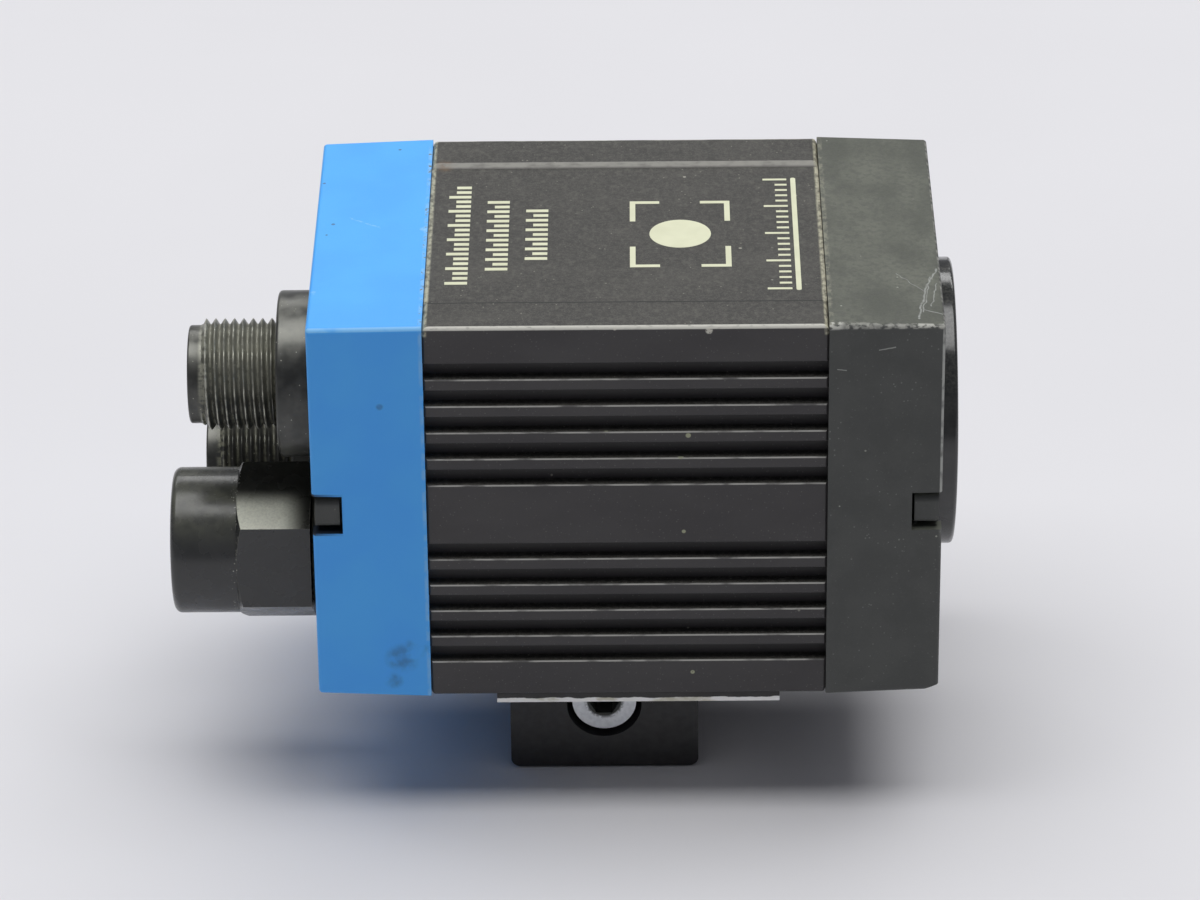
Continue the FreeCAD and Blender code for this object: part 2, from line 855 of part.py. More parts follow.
def connector_board(pins):
    """The board that joins the three connectors. Its corners clear the screw bosses."""
    x1 = connector_board_x + board_thickness
    half = cover_inner_half - board_clearance
    notch = connector_board_notch
    board = square_prism(connector_board_x, x1, half, 0)
    corners = at_corners(
        lambda y, z: box(
            connector_board_x, x1, y - notch, y + notch, z - notch, z + notch
        ),
        half,
        half,
    )
    return board.cut(corners + pins + [spindle_hole(connector_board_x, x1, board_clearance)])


def board_links():
    """Stacking connectors between the three boards."""
    half = link_width / 2
    z0 = -link_drop - link_height / 2
    z1 = -link_drop + link_height / 2
    rear = box(connector_board_x + board_thickness, processor_board_x, -half, half, z0, z1)
    front = box(processor_board_x + board_thickness, sensor_board_x, -half, half, z0, z1)
    return [rear, front]


def led_flex():
    """The flat lead from the processor board to the lighting board, along the cavity floor."""
    half = flex_width / 2
    x0 = processor_board_x + board_thickness
    return box(x0, led_board_x, -half, half, -flex_drop, -flex_drop + flex_thickness)


# ---- Focus mechanism ----
def rod_places():
    return [(-rod_spacing / 2, rod_spacing / 2), (rod_spacing / 2, -rod_spacing / 2)]


def guide_rods():
    """Two rods, held by the bracket, on which the lens carriage slides."""
    return [rod(bracket_x, rod_end_x, y, z, rod_radius) for y, z in rod_places()]


def focus_bracket():
    """The plate across the housing that carries the boards, the rods and the spindle."""
    x1 = bracket_x + bracket_thickness
    half = bracket_window / 2
    plate = board_outline(bracket_x, bracket_thickness, bracket_clearance)
    window = box(bracket_x, x1, -half, half, -half, half)
    bearing = spindle_hole(bracket_x, x1, spindle_clearance)
    return plate.cut([window, bearing, flex_slot(bracket_x, x1)] + guide_rods() + board_screws())


def focus_spindle():
    """The focus screw: slotted head at the rear, thin shaft, and a collar at the bracket."""
    head_x = rear_plate_x + spindle_head_sunk
    neck_x = head_x + spindle_head_length - spindle_clearance
    collar_x = bracket_x + bracket_thickness + spindle_clearance
    y = spindle_offset
    head = rod(head_x, neck_x, y, y, spindle_head_radius)
    shaft = rod(neck_x, rod_end_x, y, y, spindle_radius)
    collar = rod(collar_x, collar_x + spindle_collar_length, y, y, spindle_collar_radius)
    half = spindle_slot_width / 2
    reach = spindle_head_radius
    slot = box(head_x, head_x + spindle_slot_depth, y - half, y + half, y - reach, y + reach)
    return joined([head, shaft, collar]).cut(slot)


def spindle_seal():
    x0 = rear_plate_x + spindle_head_sunk + spindle_head_length
    outer = spindle_head_radius + spindle_head_clearance
    inner = spindle_radius + spindle_clearance
    y = spindle_offset
    return tube(x0, x0 + spindle_seal_thickness, y, y, outer, inner)


def lens_carriage():
    """The plate that carries the lens, with two sleeves and the nut of the spindle."""
    x1 = carriage_x + carriage_thickness
    plate = square_prism(carriage_x, x1, carriage_width / 2, sleeve_wall + rod_radius)
    outer = rod_radius + sleeve_wall
    sleeves = [rod(sleeve_x, sleeve_x + sleeve_length, y, z, outer) for y, z in rod_places()]
    y = spindle_offset
    nut = rod(sleeve_x, sleeve_x + sleeve_length, y, y, spindle_radius + sleeve_wall)
    shape = joined([plate, nut] + sleeves)
    cuts = [rod(carriage_x, x1, 0, optics_rise, barrel_radius)]
    for rod_y, rod_z in rod_places():
        bore = rod_radius + rod_clearance
        cuts.append(rod(sleeve_x, sleeve_x + sleeve_length, rod_y, rod_z, bore))
    cuts.append(spindle_hole(sleeve_x, sleeve_x + sleeve_length, spindle_clearance))
    return shape.cut(cuts)


def lens_barrel():
    """The stepped lens tube."""
    body_end = barrel_x + barrel_length
    nose_end = body_end + nose_length
    body_bore = barrel_radius - barrel_wall
    nose_bore = nose_radius - barrel_wall
    profile = [(barrel_x, body_bore), (barrel_x, barrel_radius), (body_end, barrel_radius)]
    profile += [(body_end, nose_radius), (nose_end, nose_radius), (nose_end, nose_bore)]
    profile += [(body_end, nose_bore), (body_end, body_bore)]
    return turned(0, optics_rise, profile)


def lens(flat_x, radius, direction):
    """A glass element about the optical axis: flat at flat_x, domed towards direction."""
    dome_radius = (radius**2 + lens_bulge**2) / (2 * lens_bulge)
    half_angle = math.asin(radius / dome_radius) / 2
    tip_x = flat_x + direction * lens_thickness
    middle_x = tip_x - direction * dome_radius * (1 - math.cos(half_angle))
    z = axis_z + optics_rise
    centre = Vector(flat_x, 0, z)
    back_rim = Vector(flat_x, 0, z + radius)
    rim = Vector(tip_x - direction * lens_bulge, 0, z + radius)
    middle = Vector(middle_x, 0, z + dome_radius * math.sin(half_angle))
    tip = Vector(tip_x, 0, z)
    outline = [Part.makeLine(centre, back_rim), Part.makeLine(back_rim, rim)]
    outline += [Part.Arc(rim, middle, tip).toShape(), Part.makeLine(tip, centre)]
    return Part.Face(Part.Wire(outline)).revolve(centre, Vector(1, 0, 0), 360)


def front_lens():
    nose_end = barrel_x + barrel_length + nose_length
    return lens(nose_end - lens_thickness, nose_radius - barrel_wall, 1)


def rear_lens():
    return lens(barrel_x + lens_thickness, barrel_radius - barrel_wall, -1)


# ---- Front: window and lighting ----
def window_carrier():
    """The plate behind the window ring, with its tongues and the pillars of the lighting board."""
    plate = square_prism(
        carrier_back_x, carrier_front_x, end_plate_half, end_plate_corner_radius
    )
    reach = cavity_half - pillar_inset
    pillars = at_corners(
        lambda y, z: rod(led_board_x + board_thickness, carrier_back_x, y, z, pillar_radius),
        reach,
        reach,
    )
    shape = joined([plate] + pillars + led_pins() + tongues(carrier_front_x, 1))
    seat_x = carrier_front_x - window_seat_depth
    z = optics_rise
    through = rod(carrier_back_x, carrier_front_x, 0, z, window_radius - window_lip)
    seat = rod(seat_x, carrier_front_x, 0, z, window_radius + window_clearance)
    spigot_radius = window_radius + window_clearance + ring_spigot_wall
    spigot = rod(carrier_front_x - ring_spigot_length, carrier_front_x, 0, z, spigot_radius)
    return shape.cut([through, seat, spigot])


def led_pins():
    """Pins of the window carrier that pass through the lighting board."""
    reach = cavity_half - pillar_inset
    x1 = led_board_x + board_thickness
    return at_corners(
        lambda y, z: rod(led_board_x, x1, y, z, pillar_pin_radius), reach, reach
    )


def window_seal():
    x0 = carrier_front_x - window_seat_depth
    return tube(x0, window_x, 0, optics_rise, window_radius, window_radius - window_lip)


def front_window():
    return rod(window_x, window_x + window_thickness, 0, optics_rise, window_radius)


def window_ring():
    """The screwed ring that holds the window: rounded rim, bevelled mouth, thin spigot."""
    inner = window_radius + window_clearance
    spigot_x = carrier_front_x - ring_spigot_length
    lip_x = window_x + window_thickness + window_clearance / 2
    mouth = window_radius - window_lip
    end = carrier_front_x + ring_height
    profile = [(spigot_x, inner), (spigot_x, inner + ring_spigot_wall)]
    profile += [(carrier_front_x, inner + ring_spigot_wall), (carrier_front_x, ring_radius)]
    profile += [(end, ring_radius), (end, mouth + ring_chamfer), (end - ring_chamfer, mouth)]
    profile += [(lip_x, mouth), (lip_x, inner)]
    ring = turned(0, optics_rise, profile)
    rim = [edge for edge in ring.Edges if abs(edge.BoundBox.XMin - end) < 1e-4
           and edge.BoundBox.YMax > ring_radius - 1e-3]
    return ring.makeFillet(ring_edge_radius, rim)


def led_board():
    """The lighting board behind the window."""
    x1 = led_board_x + board_thickness
    board = board_outline(led_board_x, board_thickness, led_board_inset)
    hole = rod(led_board_x, x1, 0, optics_rise, shield_radius - shield_wall)
    return board.cut([hole] + led_pins())


def led_emitters():
    """A circle of square light sources."""
    x0 = led_board_x + board_thickness
    half = led_width / 2
    z = optics_rise + led_circle_radius
    emitters = []
    for i in range(led_count):
        emitter = box(x0, x0 + led_height, -half, half, z - half, z + half)
        angle = 360 * (i + 0.5) / led_count
        emitter.rotate(Vector(0, 0, axis_z + optics_rise), Vector(1, 0, 0), angle)
        emitters.append(emitter)
    return emitters


def light_shield():
    """The tube that keeps the light of the emitters out of the lens."""
    x0 = led_board_x + board_thickness
    return tube(x0, x0 + shield_length, 0, optics_rise, shield_radius, shield_radius - shield_wall)


# ---- Dovetail clamp ----
def side_block(y0, y1, lift):
    """A block across the clamp whose lower edges along Y are rounded."""
    half = clamp_length / 2
    radius = clamp_corner_radius
    corners = [(-half, lift, radius), (half, lift, radius), (half, clamp_height, 0),
               (-half, clamp_height, 0)]
    points = [Vector(x, y0, z) for x, z, _ in corners]
    wire = rounded_wire(points, [corner[2] for corner in corners])
    return Part.Face(wire).extrude(Vector(0, y1 - y0, 0))


def rail_pocket(y0, y1):
    """The space that the rail needs inside the clamp, between two limits across it."""
    clearance = clamp_rail_clearance
    floor = rail_bottom_z - clearance - axis_z
    top = clamp_height - axis_z
    widening = clearance / math.sin(math.radians(rail_angle))
    wide = rail_width / 2 + widening + clearance * rail_slope
    narrow = wide - (top - floor) * rail_slope
    corners = [(-wide, floor, 0), (wide, floor, 0), (narrow, top, 0), (-narrow, top, 0)]
    half = clamp_length / 2
    pocket = prism(-half, half, corners)
    limit = box(-half, half, y0, y1, floor, top)
    return pocket.common(limit)


def along_y(x, y0, y1, z, radius):
    """A cylinder along Y, with z above the mounting face."""
    return Part.makeCylinder(radius, y1 - y0, Vector(x, y0, z), Vector(0, 1, 0))


def guide_pins(clearance):
    """Two pins that keep the jaw square, pressed into the base."""
    y0 = base_y - guide_pin_reach - clearance
    y1 = y0 + guide_pin_length + clearance
    xs = [-guide_pin_spacing / 2, guide_pin_spacing / 2]
    return [along_y(x, y0, y1, clamp_screw_height, guide_pin_radius + clearance) for x in xs]


def clamp_base():
    """The fixed half, with the far jaw, the screw thread and two mounting threads below."""
    half = clamp_depth / 2
    shape = side_block(base_y, half, 0).cut(rail_pocket(base_y, half))
    thread = along_y(
        0,
        base_y,
        clamp_screw_length - clamp_depth / 2 + clamp_head_sunk + clamp_head_height + clamp_split,
        clamp_screw_height,
        clamp_screw_radius + clamp_screw_clearance,
    )
    holes = [
        Part.makeCylinder(
            mounting_hole_radius,
            mounting_hole_depth,
            Vector(sign * mounting_hole_spacing / 2, mounting_hole_offset, 0),
        )
        for sign in (-1, 1)
    ]
    return shape.cut([thread] + holes + guide_pins(0))


def clamp_jaw():
    """The moving jaw on the near side, with the counterbore of its screw."""
    half = clamp_depth / 2
    shape = side_block(-half, jaw_inner_y, clamp_lift).cut(rail_pocket(-half, jaw_inner_y))
    seat_y = -half + clamp_head_sunk + clamp_head_height
    counterbore = along_y(0, -half, seat_y, clamp_screw_height, clamp_counterbore_radius)
    hole = along_y(
        0, -half, jaw_inner_y, clamp_screw_height, clamp_screw_radius + clamp_screw_clearance
    )
    return shape.cut([counterbore, hole] + guide_pins(clamp_screw_clearance))


def clamp_screw():
    """The M4 socket screw that closes the clamp."""
    head_y = -clamp_depth / 2 + clamp_head_sunk
    seat_y = head_y + clamp_head_height
    head = along_y(0, head_y, seat_y, clamp_screw_height, clamp_head_radius)
    shank = along_y(0, seat_y, seat_y + clamp_screw_length, clamp_screw_height, clamp_screw_radius)
    reach = clamp_socket_flats / math.sqrt(3)
    points = []
    for i in range(6):
        angle = math.radians(60 * i)
        x = reach * math.cos(angle)
        z = clamp_screw_height + reach * math.sin(angle)
        points.append(Vector(x, head_y, z))
    socket = Part.Face(Part.makePolygon(points + [points[0]]))
    return joined([head, shank]).cut(socket.extrude(Vector(0, clamp_socket_depth, 0)))


def underside_label():
    """A stiff label under the housing, along its near edge."""
    x0 = rear_joint_x + label_start
    y0 = -housing_half + label_edge_gap
    z1 = -housing_half
    return box(x0, x0 + label_length, y0, y0 + label_width, z1 - label_thickness, z1)


def all_parts():
    """Every sub-part by node name. A list is a group of separate solids."""
    pieces = {
        "main_housing": main_housing(),
        "rear_frame": rear_frame(),
        "front_frame": front_frame(),
        "rear_gasket": gasket(rear_joint_x, -1),
        "front_gasket": gasket(front_joint_x, 1),
        "rear_screws": rear_screws(),
        "front_screws": front_screws(),
        "rear_plate": rear_plate(),
        "status_light_pipe": status_light_pipe(),
    }
    plugs = connectors()
    pieces.update(plugs)
    pins = [plugs[name + "_connector_pins"] for name in ("signal", "network", "supply")]
    pieces.update(
        {
            "cap_seal": cap_seal(),
            "screw_cap": screw_cap(),
            "connector_board": connector_board(pins),
            "processor_board": processor_board(),
            "processor_chip": processor_chip(),
            "sensor_board": sensor_board(),
            "image_sensor": image_sensor(),
            "sensor_glass": sensor_glass(),
            "board_links": board_links(),
            "board_spacers": board_spacers(),
            "board_screws": board_screws(),
            "led_flex": led_flex(),
            "focus_bracket": focus_bracket(),
            "guide_rods": guide_rods(),
            "focus_spindle": focus_spindle(),
            "spindle_seal": spindle_seal(),
            "lens_carriage": lens_carriage(),
            "lens_barrel": lens_barrel(),
            "front_lens": front_lens(),
            "rear_lens": rear_lens(),
            "window_carrier": window_carrier(),
            "window_seal": window_seal(),
            "front_window": front_window(),
            "window_ring": window_ring(),
            "led_board": led_board(),
            "led_emitters": led_emitters(),
            "light_shield": light_shield(),
            "clamp_base": clamp_base(),
            "clamp_jaw": clamp_jaw(),
            "clamp_screw": clamp_screw(),
            "clamp_guide_pins": guide_pins(0),
            "underside_label": underside_label(),
        }
    )
    return pieces


def main():
    """Write one STEP file per sub-part."""
    os.makedirs("parts", exist_ok=True)
    for name, piece in all_parts().items():
        shape = Part.makeCompound(piece) if isinstance(piece, list) else piece
        shape.exportStep("parts/" + name + ".step")
        print(name, len(shape.Solids), "solids", round(shape.Volume, 2), "mm3", shape.isValid())


main()
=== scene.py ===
import json
import math

import bmesh
import bpy
from mathutils import Matrix, Vector


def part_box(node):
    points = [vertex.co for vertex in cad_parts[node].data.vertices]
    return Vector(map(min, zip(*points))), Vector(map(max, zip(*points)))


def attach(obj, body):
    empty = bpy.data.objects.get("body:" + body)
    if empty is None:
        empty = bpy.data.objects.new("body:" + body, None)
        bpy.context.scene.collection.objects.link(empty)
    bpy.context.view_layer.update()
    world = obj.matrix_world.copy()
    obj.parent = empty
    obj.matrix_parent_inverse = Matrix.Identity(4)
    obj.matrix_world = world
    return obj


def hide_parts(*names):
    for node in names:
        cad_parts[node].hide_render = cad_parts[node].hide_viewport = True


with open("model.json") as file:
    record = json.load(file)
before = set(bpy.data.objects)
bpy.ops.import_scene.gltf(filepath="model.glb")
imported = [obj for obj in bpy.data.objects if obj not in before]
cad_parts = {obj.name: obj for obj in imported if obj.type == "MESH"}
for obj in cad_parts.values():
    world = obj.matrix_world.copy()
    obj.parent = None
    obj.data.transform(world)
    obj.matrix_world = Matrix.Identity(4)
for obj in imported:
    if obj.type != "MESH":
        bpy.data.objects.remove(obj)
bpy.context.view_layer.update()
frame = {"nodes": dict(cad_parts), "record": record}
nodes = frame["nodes"]
MM = 0.001

# ---- Places, read from the CAD nodes ----
housing_low, housing_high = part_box("main_housing")
cover_low, cover_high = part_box("front_frame")
rear_low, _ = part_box("rear_frame")
plate_low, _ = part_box("rear_plate")
screw_low, screw_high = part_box("clamp_screw")
_, label_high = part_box("underside_label")
cap_low, cap_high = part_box("screw_cap")
cap_axis_z = (cap_low.z + cap_high.z) / 2
cap_step_x = cap_low.x + 7.0 * MM  # where the round end meets the hexagon
screw_middle = ((screw_low.x + screw_high.x) / 2, screw_low.y, (screw_low.z + screw_high.z) / 2)
shell_low, shell_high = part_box("signal_connector_shell")
shell_axis = ((shell_low.y + shell_high.y) / 2, (shell_low.z + shell_high.z) / 2)
axis_z = (cover_low.z + cover_high.z) / 2
side_y = housing_high.y
near_y = -side_y
top_z = housing_high.z
cover_top_z = cover_high.z
rear_joint_x = housing_low.x
front_joint_x = housing_high.x
panel_half = 16.5 * MM
panel_z = top_z - 0.5 * MM

# ---- M12 connectors ----
TIP_LENGTH = 1.35 * MM
TIP_RADIUS = 5.25 * MM
TIP_EDGE = 0.25 * MM
TIP_BACK_EDGE = 0.15 * MM
BORE_RADIUS = 4.3 * MM
BORE_EDGE = 0.2 * MM
STEM_RADIUS = 6.5 * MM
CREST_RADIUS = 5.95 * MM
THREAD_DEPTH = 0.62 * MM
THREAD_PITCH = 1.0 * MM
THREAD_ROOT = 0.10  # flat of the root and of the crest, as shares of half a turn
THREAD_CREST = 0.08
THREAD_RUN_IN = 0.4 * MM
THREAD_RUN_OUT = 0.3 * MM
THREAD_ROOM = 0.25 * MM  # plain neck between the last crest and the collar
THREAD_STEPS = 12  # rings to a turn of the thread
TURNED_SEGMENTS = 96
EDGE_STEPS = 4  # rings round a rounded edge
COLLAR_LENGTH = 3.95 * MM
SUPPLY_COLLAR_LENGTH = 0.9 * MM
COLLAR_EDGE = 0.4 * MM
COLLAR_FOOT = 0.1 * MM
PLATE_EDGE = 0.25 * MM  # where the collar meets the plate

# ---- Printed marks on the top panel ----
PRINT_LIFT = 0.02 * MM
PRINT_SUNK = 0.05 * MM

# ---- Which axes a mark on a flat face is measured along ----
TOP = (1, 1, 0)
SIDE = (1, 0, 1)

# ---- Sockets of a Mix node that are used for colours ----
MIX_FACTOR = 0
MIX_A = 6
MIX_B = 7
MIX_RESULT = 2


# ---- Materials: node trees written as expressions ----
class Recipe:
    """A procedural material. Each method adds a node and returns its output socket."""

    def __init__(self, name):
        self.material = bpy.data.materials.new(name)
        self.material.use_nodes = True
        self.tree = self.material.node_tree
        self.shader = self.tree.nodes["Principled BSDF"]
        self.place = self.add("ShaderNodeTexCoord").outputs["Object"]
        self.x, self.y, self.z = self.axes(self.place)
        self.facing = self.add("ShaderNodeNewGeometry").outputs["Normal"]
        self.facing_axes = self.axes(self.facing)
        self.colour = None

    def add(self, kind, settings=None, **inputs):
        """A node, with its settings and its inputs by socket name."""
        node = self.tree.nodes.new(kind)
        for key, value in (settings or {}).items():
            setattr(node, key, value)
        for key, value in inputs.items():
            self.feed(node.inputs[key.replace("_", " ")], value)
        return node

    def feed(self, socket, value):
        """Links a socket, or sets a plain value."""
        if isinstance(value, bpy.types.NodeSocket):
            self.tree.links.new(value, socket)
        else:
            socket.default_value = value

    def math(self, operation, a, b=0.0):
        node = self.add("ShaderNodeMath", {"operation": operation})
        self.feed(node.inputs[0], a)
        self.feed(node.inputs[1], b)
        return node.outputs[0]

    def both(self, *values):
        """The product of several masks."""
        result = values[0]
        for value in values[1:]:
            result = self.math("MULTIPLY", result, value)
        return result

    def either(self, *values):
        """The largest of several masks."""
        result = values[0]
        for value in values[1:]:
            result = self.math("MAXIMUM", result, value)
        return result

    def axes(self, vector):
        return list(self.add("ShaderNodeSeparateXYZ", Vector=vector).outputs)

    def spread(self, value, low, high, to_low=0.0, to_high=1.0):
        """Carries the range low..high smoothly to to_low..to_high."""
        node = self.add("ShaderNodeMapRange", {"interpolation_type": "SMOOTHSTEP"}, Value=value)
        node.inputs["From Min"].default_value = low
        node.inputs["From Max"].default_value = high
        node.inputs["To Min"].default_value = to_low
        node.inputs["To Max"].default_value = to_high
        return node.outputs["Result"]

    def stretched(self, stretch, offset=(0.0, 0.0, 0.0)):
        """The place on the piece, scaled along each axis and shifted."""
        node = self.add("ShaderNodeMapping", Vector=self.place)
        node.inputs["Scale"].default_value = stretch
        node.inputs["Location"].default_value = offset
        return node.outputs[0]

    def noise(self, size_mm, detail=2.0, stretch=(1, 1, 1), offset=(0, 0, 0)):
        """Cloudy noise whose features are about size_mm large, from 0 to 1."""
        vector = self.stretched(stretch, offset)
        scale = 1 / (size_mm * MM)
        return self.add("ShaderNodeTexNoise", Vector=vector, Scale=scale, Detail=detail).outputs[0]

    def specks(self, spacing_mm, size, offset=(0, 0, 0), stretch=(1, 1, 1)):
        """Small round dots, one to a cell of the given spacing; size is a share of the cell."""
        vector = self.stretched(stretch, offset)
        node = self.add("ShaderNodeTexVoronoi", Vector=vector, Scale=1 / (spacing_mm * MM))
        return self.spread(node.outputs["Distance"], size, size * 0.6)

    def mix(self, factor, a, b):
        """A colour between a and b."""
        node = self.add("ShaderNodeMix", {"data_type": "RGBA"})
        self.feed(node.inputs[MIX_FACTOR], factor)
        self.feed(node.inputs[MIX_A], rgba(a))
        self.feed(node.inputs[MIX_B], rgba(b))
        return node.outputs[MIX_RESULT]

    def coat(self, mask, paint):
        """Lays a paint over the colour so far where the mask is 1."""
        self.colour = self.mix(mask, self.colour, paint)

    def clouded(self, noise, low, high, a, b):
        """A colour that clouds between a and b as a noise goes from low to high."""
        return self.mix(self.spread(noise, low, high), a, b)

    def edges(self, radius_mm):
        """1 on sharp edges, within radius_mm, and 0 on flats."""
        bevel = self.add("ShaderNodeBevel", {"samples": 6}, Radius=radius_mm * MM)
        dot = self.add("ShaderNodeVectorMath", {"operation": "DOT_PRODUCT"})
        self.feed(dot.inputs[0], bevel.outputs[0])
        self.feed(dot.inputs[1], self.facing)
        return self.spread(self.math("SUBTRACT", 1.0, dot.outputs["Value"]), 0.02, 0.2)

    def facing_up(self, low=0.6, high=0.95):
        return self.spread(self.facing_axes[2], low, high)

    def leaning(self, axis, low, high, sign=1, soft=0.08):
        """1 where the face direction along an axis is between two values, as on a rounded edge."""
        value = self.math("MULTIPLY", self.facing_axes[axis], sign)
        return self.between(value, low, high, soft)

    def radius_about(self, axis):
        """The distance from a line along X through (y, z)."""
        offset = self.add("ShaderNodeVectorMath", {"operation": "SUBTRACT"})
        self.feed(offset.inputs[0], self.place)
        offset.inputs[1].default_value = (0.0, *axis)
        length = self.add("ShaderNodeVectorMath", {"operation": "LENGTH"})
        self.feed(length.inputs[0], self.flattened(offset.outputs[0], (0, 1, 1)))
        return length.outputs["Value"]

    def near_side(self):
        """1 on the half towards -Y."""
        return self.spread(self.y, 1 * MM, -1 * MM)

    def off_axis(self):
        """How far a place is from the middle plane, whichever side it is on."""
        return self.math("ABSOLUTE", self.y)

    def crevices(self, distance_mm):
        """1 where other surfaces are near, 0 in the open."""
        node = self.add("ShaderNodeAmbientOcclusion", {"samples": 8}, Distance=distance_mm * MM)
        return self.spread(node.outputs["AO"], 0.8, 0.35)

    def near(self, value, middle, width):
        """1 within width of a middle value."""
        gap = self.math("ABSOLUTE", self.math("SUBTRACT", value, middle))
        return self.spread(gap, width, width * 0.5)

    def between(self, value, low, high, soft):
        """1 between two values."""
        return self.both(self.spread(value, low - soft, low + soft),
                         self.spread(value, high + soft, high - soft))

    def spot(self, centre, radius_mm, softness=0.6, keep=(1, 1, 1)):
        """1 inside a ball about a point, fading to 0 at its rim; keep makes it a rod instead."""
        node = self.add("ShaderNodeVectorMath", {"operation": "DISTANCE"})
        self.feed(node.inputs[0], self.flattened(self.place, keep))
        node.inputs[1].default_value = Vector(centre) * Vector(keep)
        radius = radius_mm * MM
        return self.spread(node.outputs["Value"], radius, radius * (1 - softness))

    def warped(self, amount_mm, size_mm):
        """The place on the piece, pushed about by noise."""
        push = self.add("ShaderNodeTexNoise", Vector=self.place, Scale=1 / (size_mm * MM))
        centred = self.add("ShaderNodeVectorMath", {"operation": "SUBTRACT"})
        self.feed(centred.inputs[0], push.outputs["Color"])
        centred.inputs[1].default_value = (0.5, 0.5, 0.5)
        moved = self.add("ShaderNodeVectorMath", {"operation": "MULTIPLY_ADD"})
        self.feed(moved.inputs[0], centred.outputs[0])
        moved.inputs[1].default_value = (amount_mm * MM,) * 3
        self.feed(moved.inputs[2], self.place)
        return moved.outputs[0]

    def flattened(self, vector, keep):
        """A vector with the axes that keep is 0 for taken out."""
        node = self.add("ShaderNodeVectorMath", {"operation": "MULTIPLY"})
        self.feed(node.inputs[0], vector)
        node.inputs[1].default_value = keep
        return node.outputs[0]

    def line(self, start, end, width_mm, wander_mm=0.0, keep=(1, 1, 0)):
        """1 along a thin line between two points, which wanders a little; keep drops an axis."""
        place = self.warped(wander_mm, 1.5) if wander_mm else self.place
        keep = Vector(keep)
        start = Vector(start) * keep
        along = Vector(end) * keep - start
        offset = self.add("ShaderNodeVectorMath", {"operation": "SUBTRACT"})
        self.feed(offset.inputs[0], self.flattened(place, keep))
        offset.inputs[1].default_value = start
        dot = self.add("ShaderNodeVectorMath", {"operation": "DOT_PRODUCT"})
        self.feed(dot.inputs[0], offset.outputs[0])
        dot.inputs[1].default_value = along / along.length_squared
        share = self.math("MINIMUM", self.math("MAXIMUM", dot.outputs["Value"], 0.0), 1.0)
        nearest = self.add("ShaderNodeVectorMath", {"operation": "SCALE"})
        nearest.inputs[0].default_value = along
        self.feed(nearest.inputs["Scale"], share)
        gap = self.add("ShaderNodeVectorMath", {"operation": "DISTANCE"})
        self.feed(gap.inputs[0], offset.outputs[0])
        self.feed(gap.inputs[1], nearest.outputs[0])
        return self.spread(gap.outputs["Value"], width_mm * MM, width_mm * MM * 0.4)

    def bump(self, height, depth_mm):
        """Surface relief: height runs from 0 to 1 over depth_mm."""
        node = self.add("ShaderNodeBump", Height=height, Distance=depth_mm * MM)
        return node.outputs[0]

    def finish(self, roughness, relief=None, **settings):
        """Feeds the shader and returns the material."""
        self.feed(self.shader.inputs["Base Color"], rgba(self.colour))
        self.feed(self.shader.inputs["Roughness"], roughness)
        if relief is not None:
            self.feed(self.shader.inputs["Normal"], relief)
        for key, value in settings.items():
            self.feed(self.shader.inputs[key.replace("_", " ")], value)
        return self.material


def rgba(value):
    """A colour of three numbers with alpha added; a socket is left as it is."""
    if isinstance(value, tuple) and len(value) == 3:
        return (*value, 1.0)
    return value


def housing_side_paint(r, fine, cloud):
    """Plain satin black with a few pores."""
    side = r.clouded(cloud, 0.3, 0.7, (0.058, 0.055, 0.056), (0.070, 0.067, 0.067))
    pores = r.specks(0.42, 0.22, (3.1, 0, 0))
    return r.mix(r.both(pores, r.spread(fine, 0.45, 0.6), 0.6), side, (0.14, 0.14, 0.13))


def housing_top_paint(r, grain, fine, cloud):
    """Grainy black under a haze of dust."""
    top = r.clouded(grain, 0.30, 0.70, (0.028, 0.027, 0.024), (0.096, 0.093, 0.083))
    top = r.mix(r.both(r.spread(fine, 0.42, 0.66), 0.6), top, (0.028, 0.027, 0.025))
    top = r.mix(r.both(r.spread(cloud, 0.45, 0.75), 0.25), top, (0.105, 0.101, 0.088))
    haze = r.spread(r.noise(0.7, 6.0, (1, 0.7, 1), (7, 0, 0)), 0.50, 0.72)
    top = r.mix(r.both(haze, 0.45), top, (0.120, 0.116, 0.100))
    flecks = r.both(r.specks(0.9, 0.12), r.spread(r.noise(1.3), 0.46, 0.56))
    return r.mix(r.both(flecks, 0.7), top, (0.30, 0.29, 0.24))


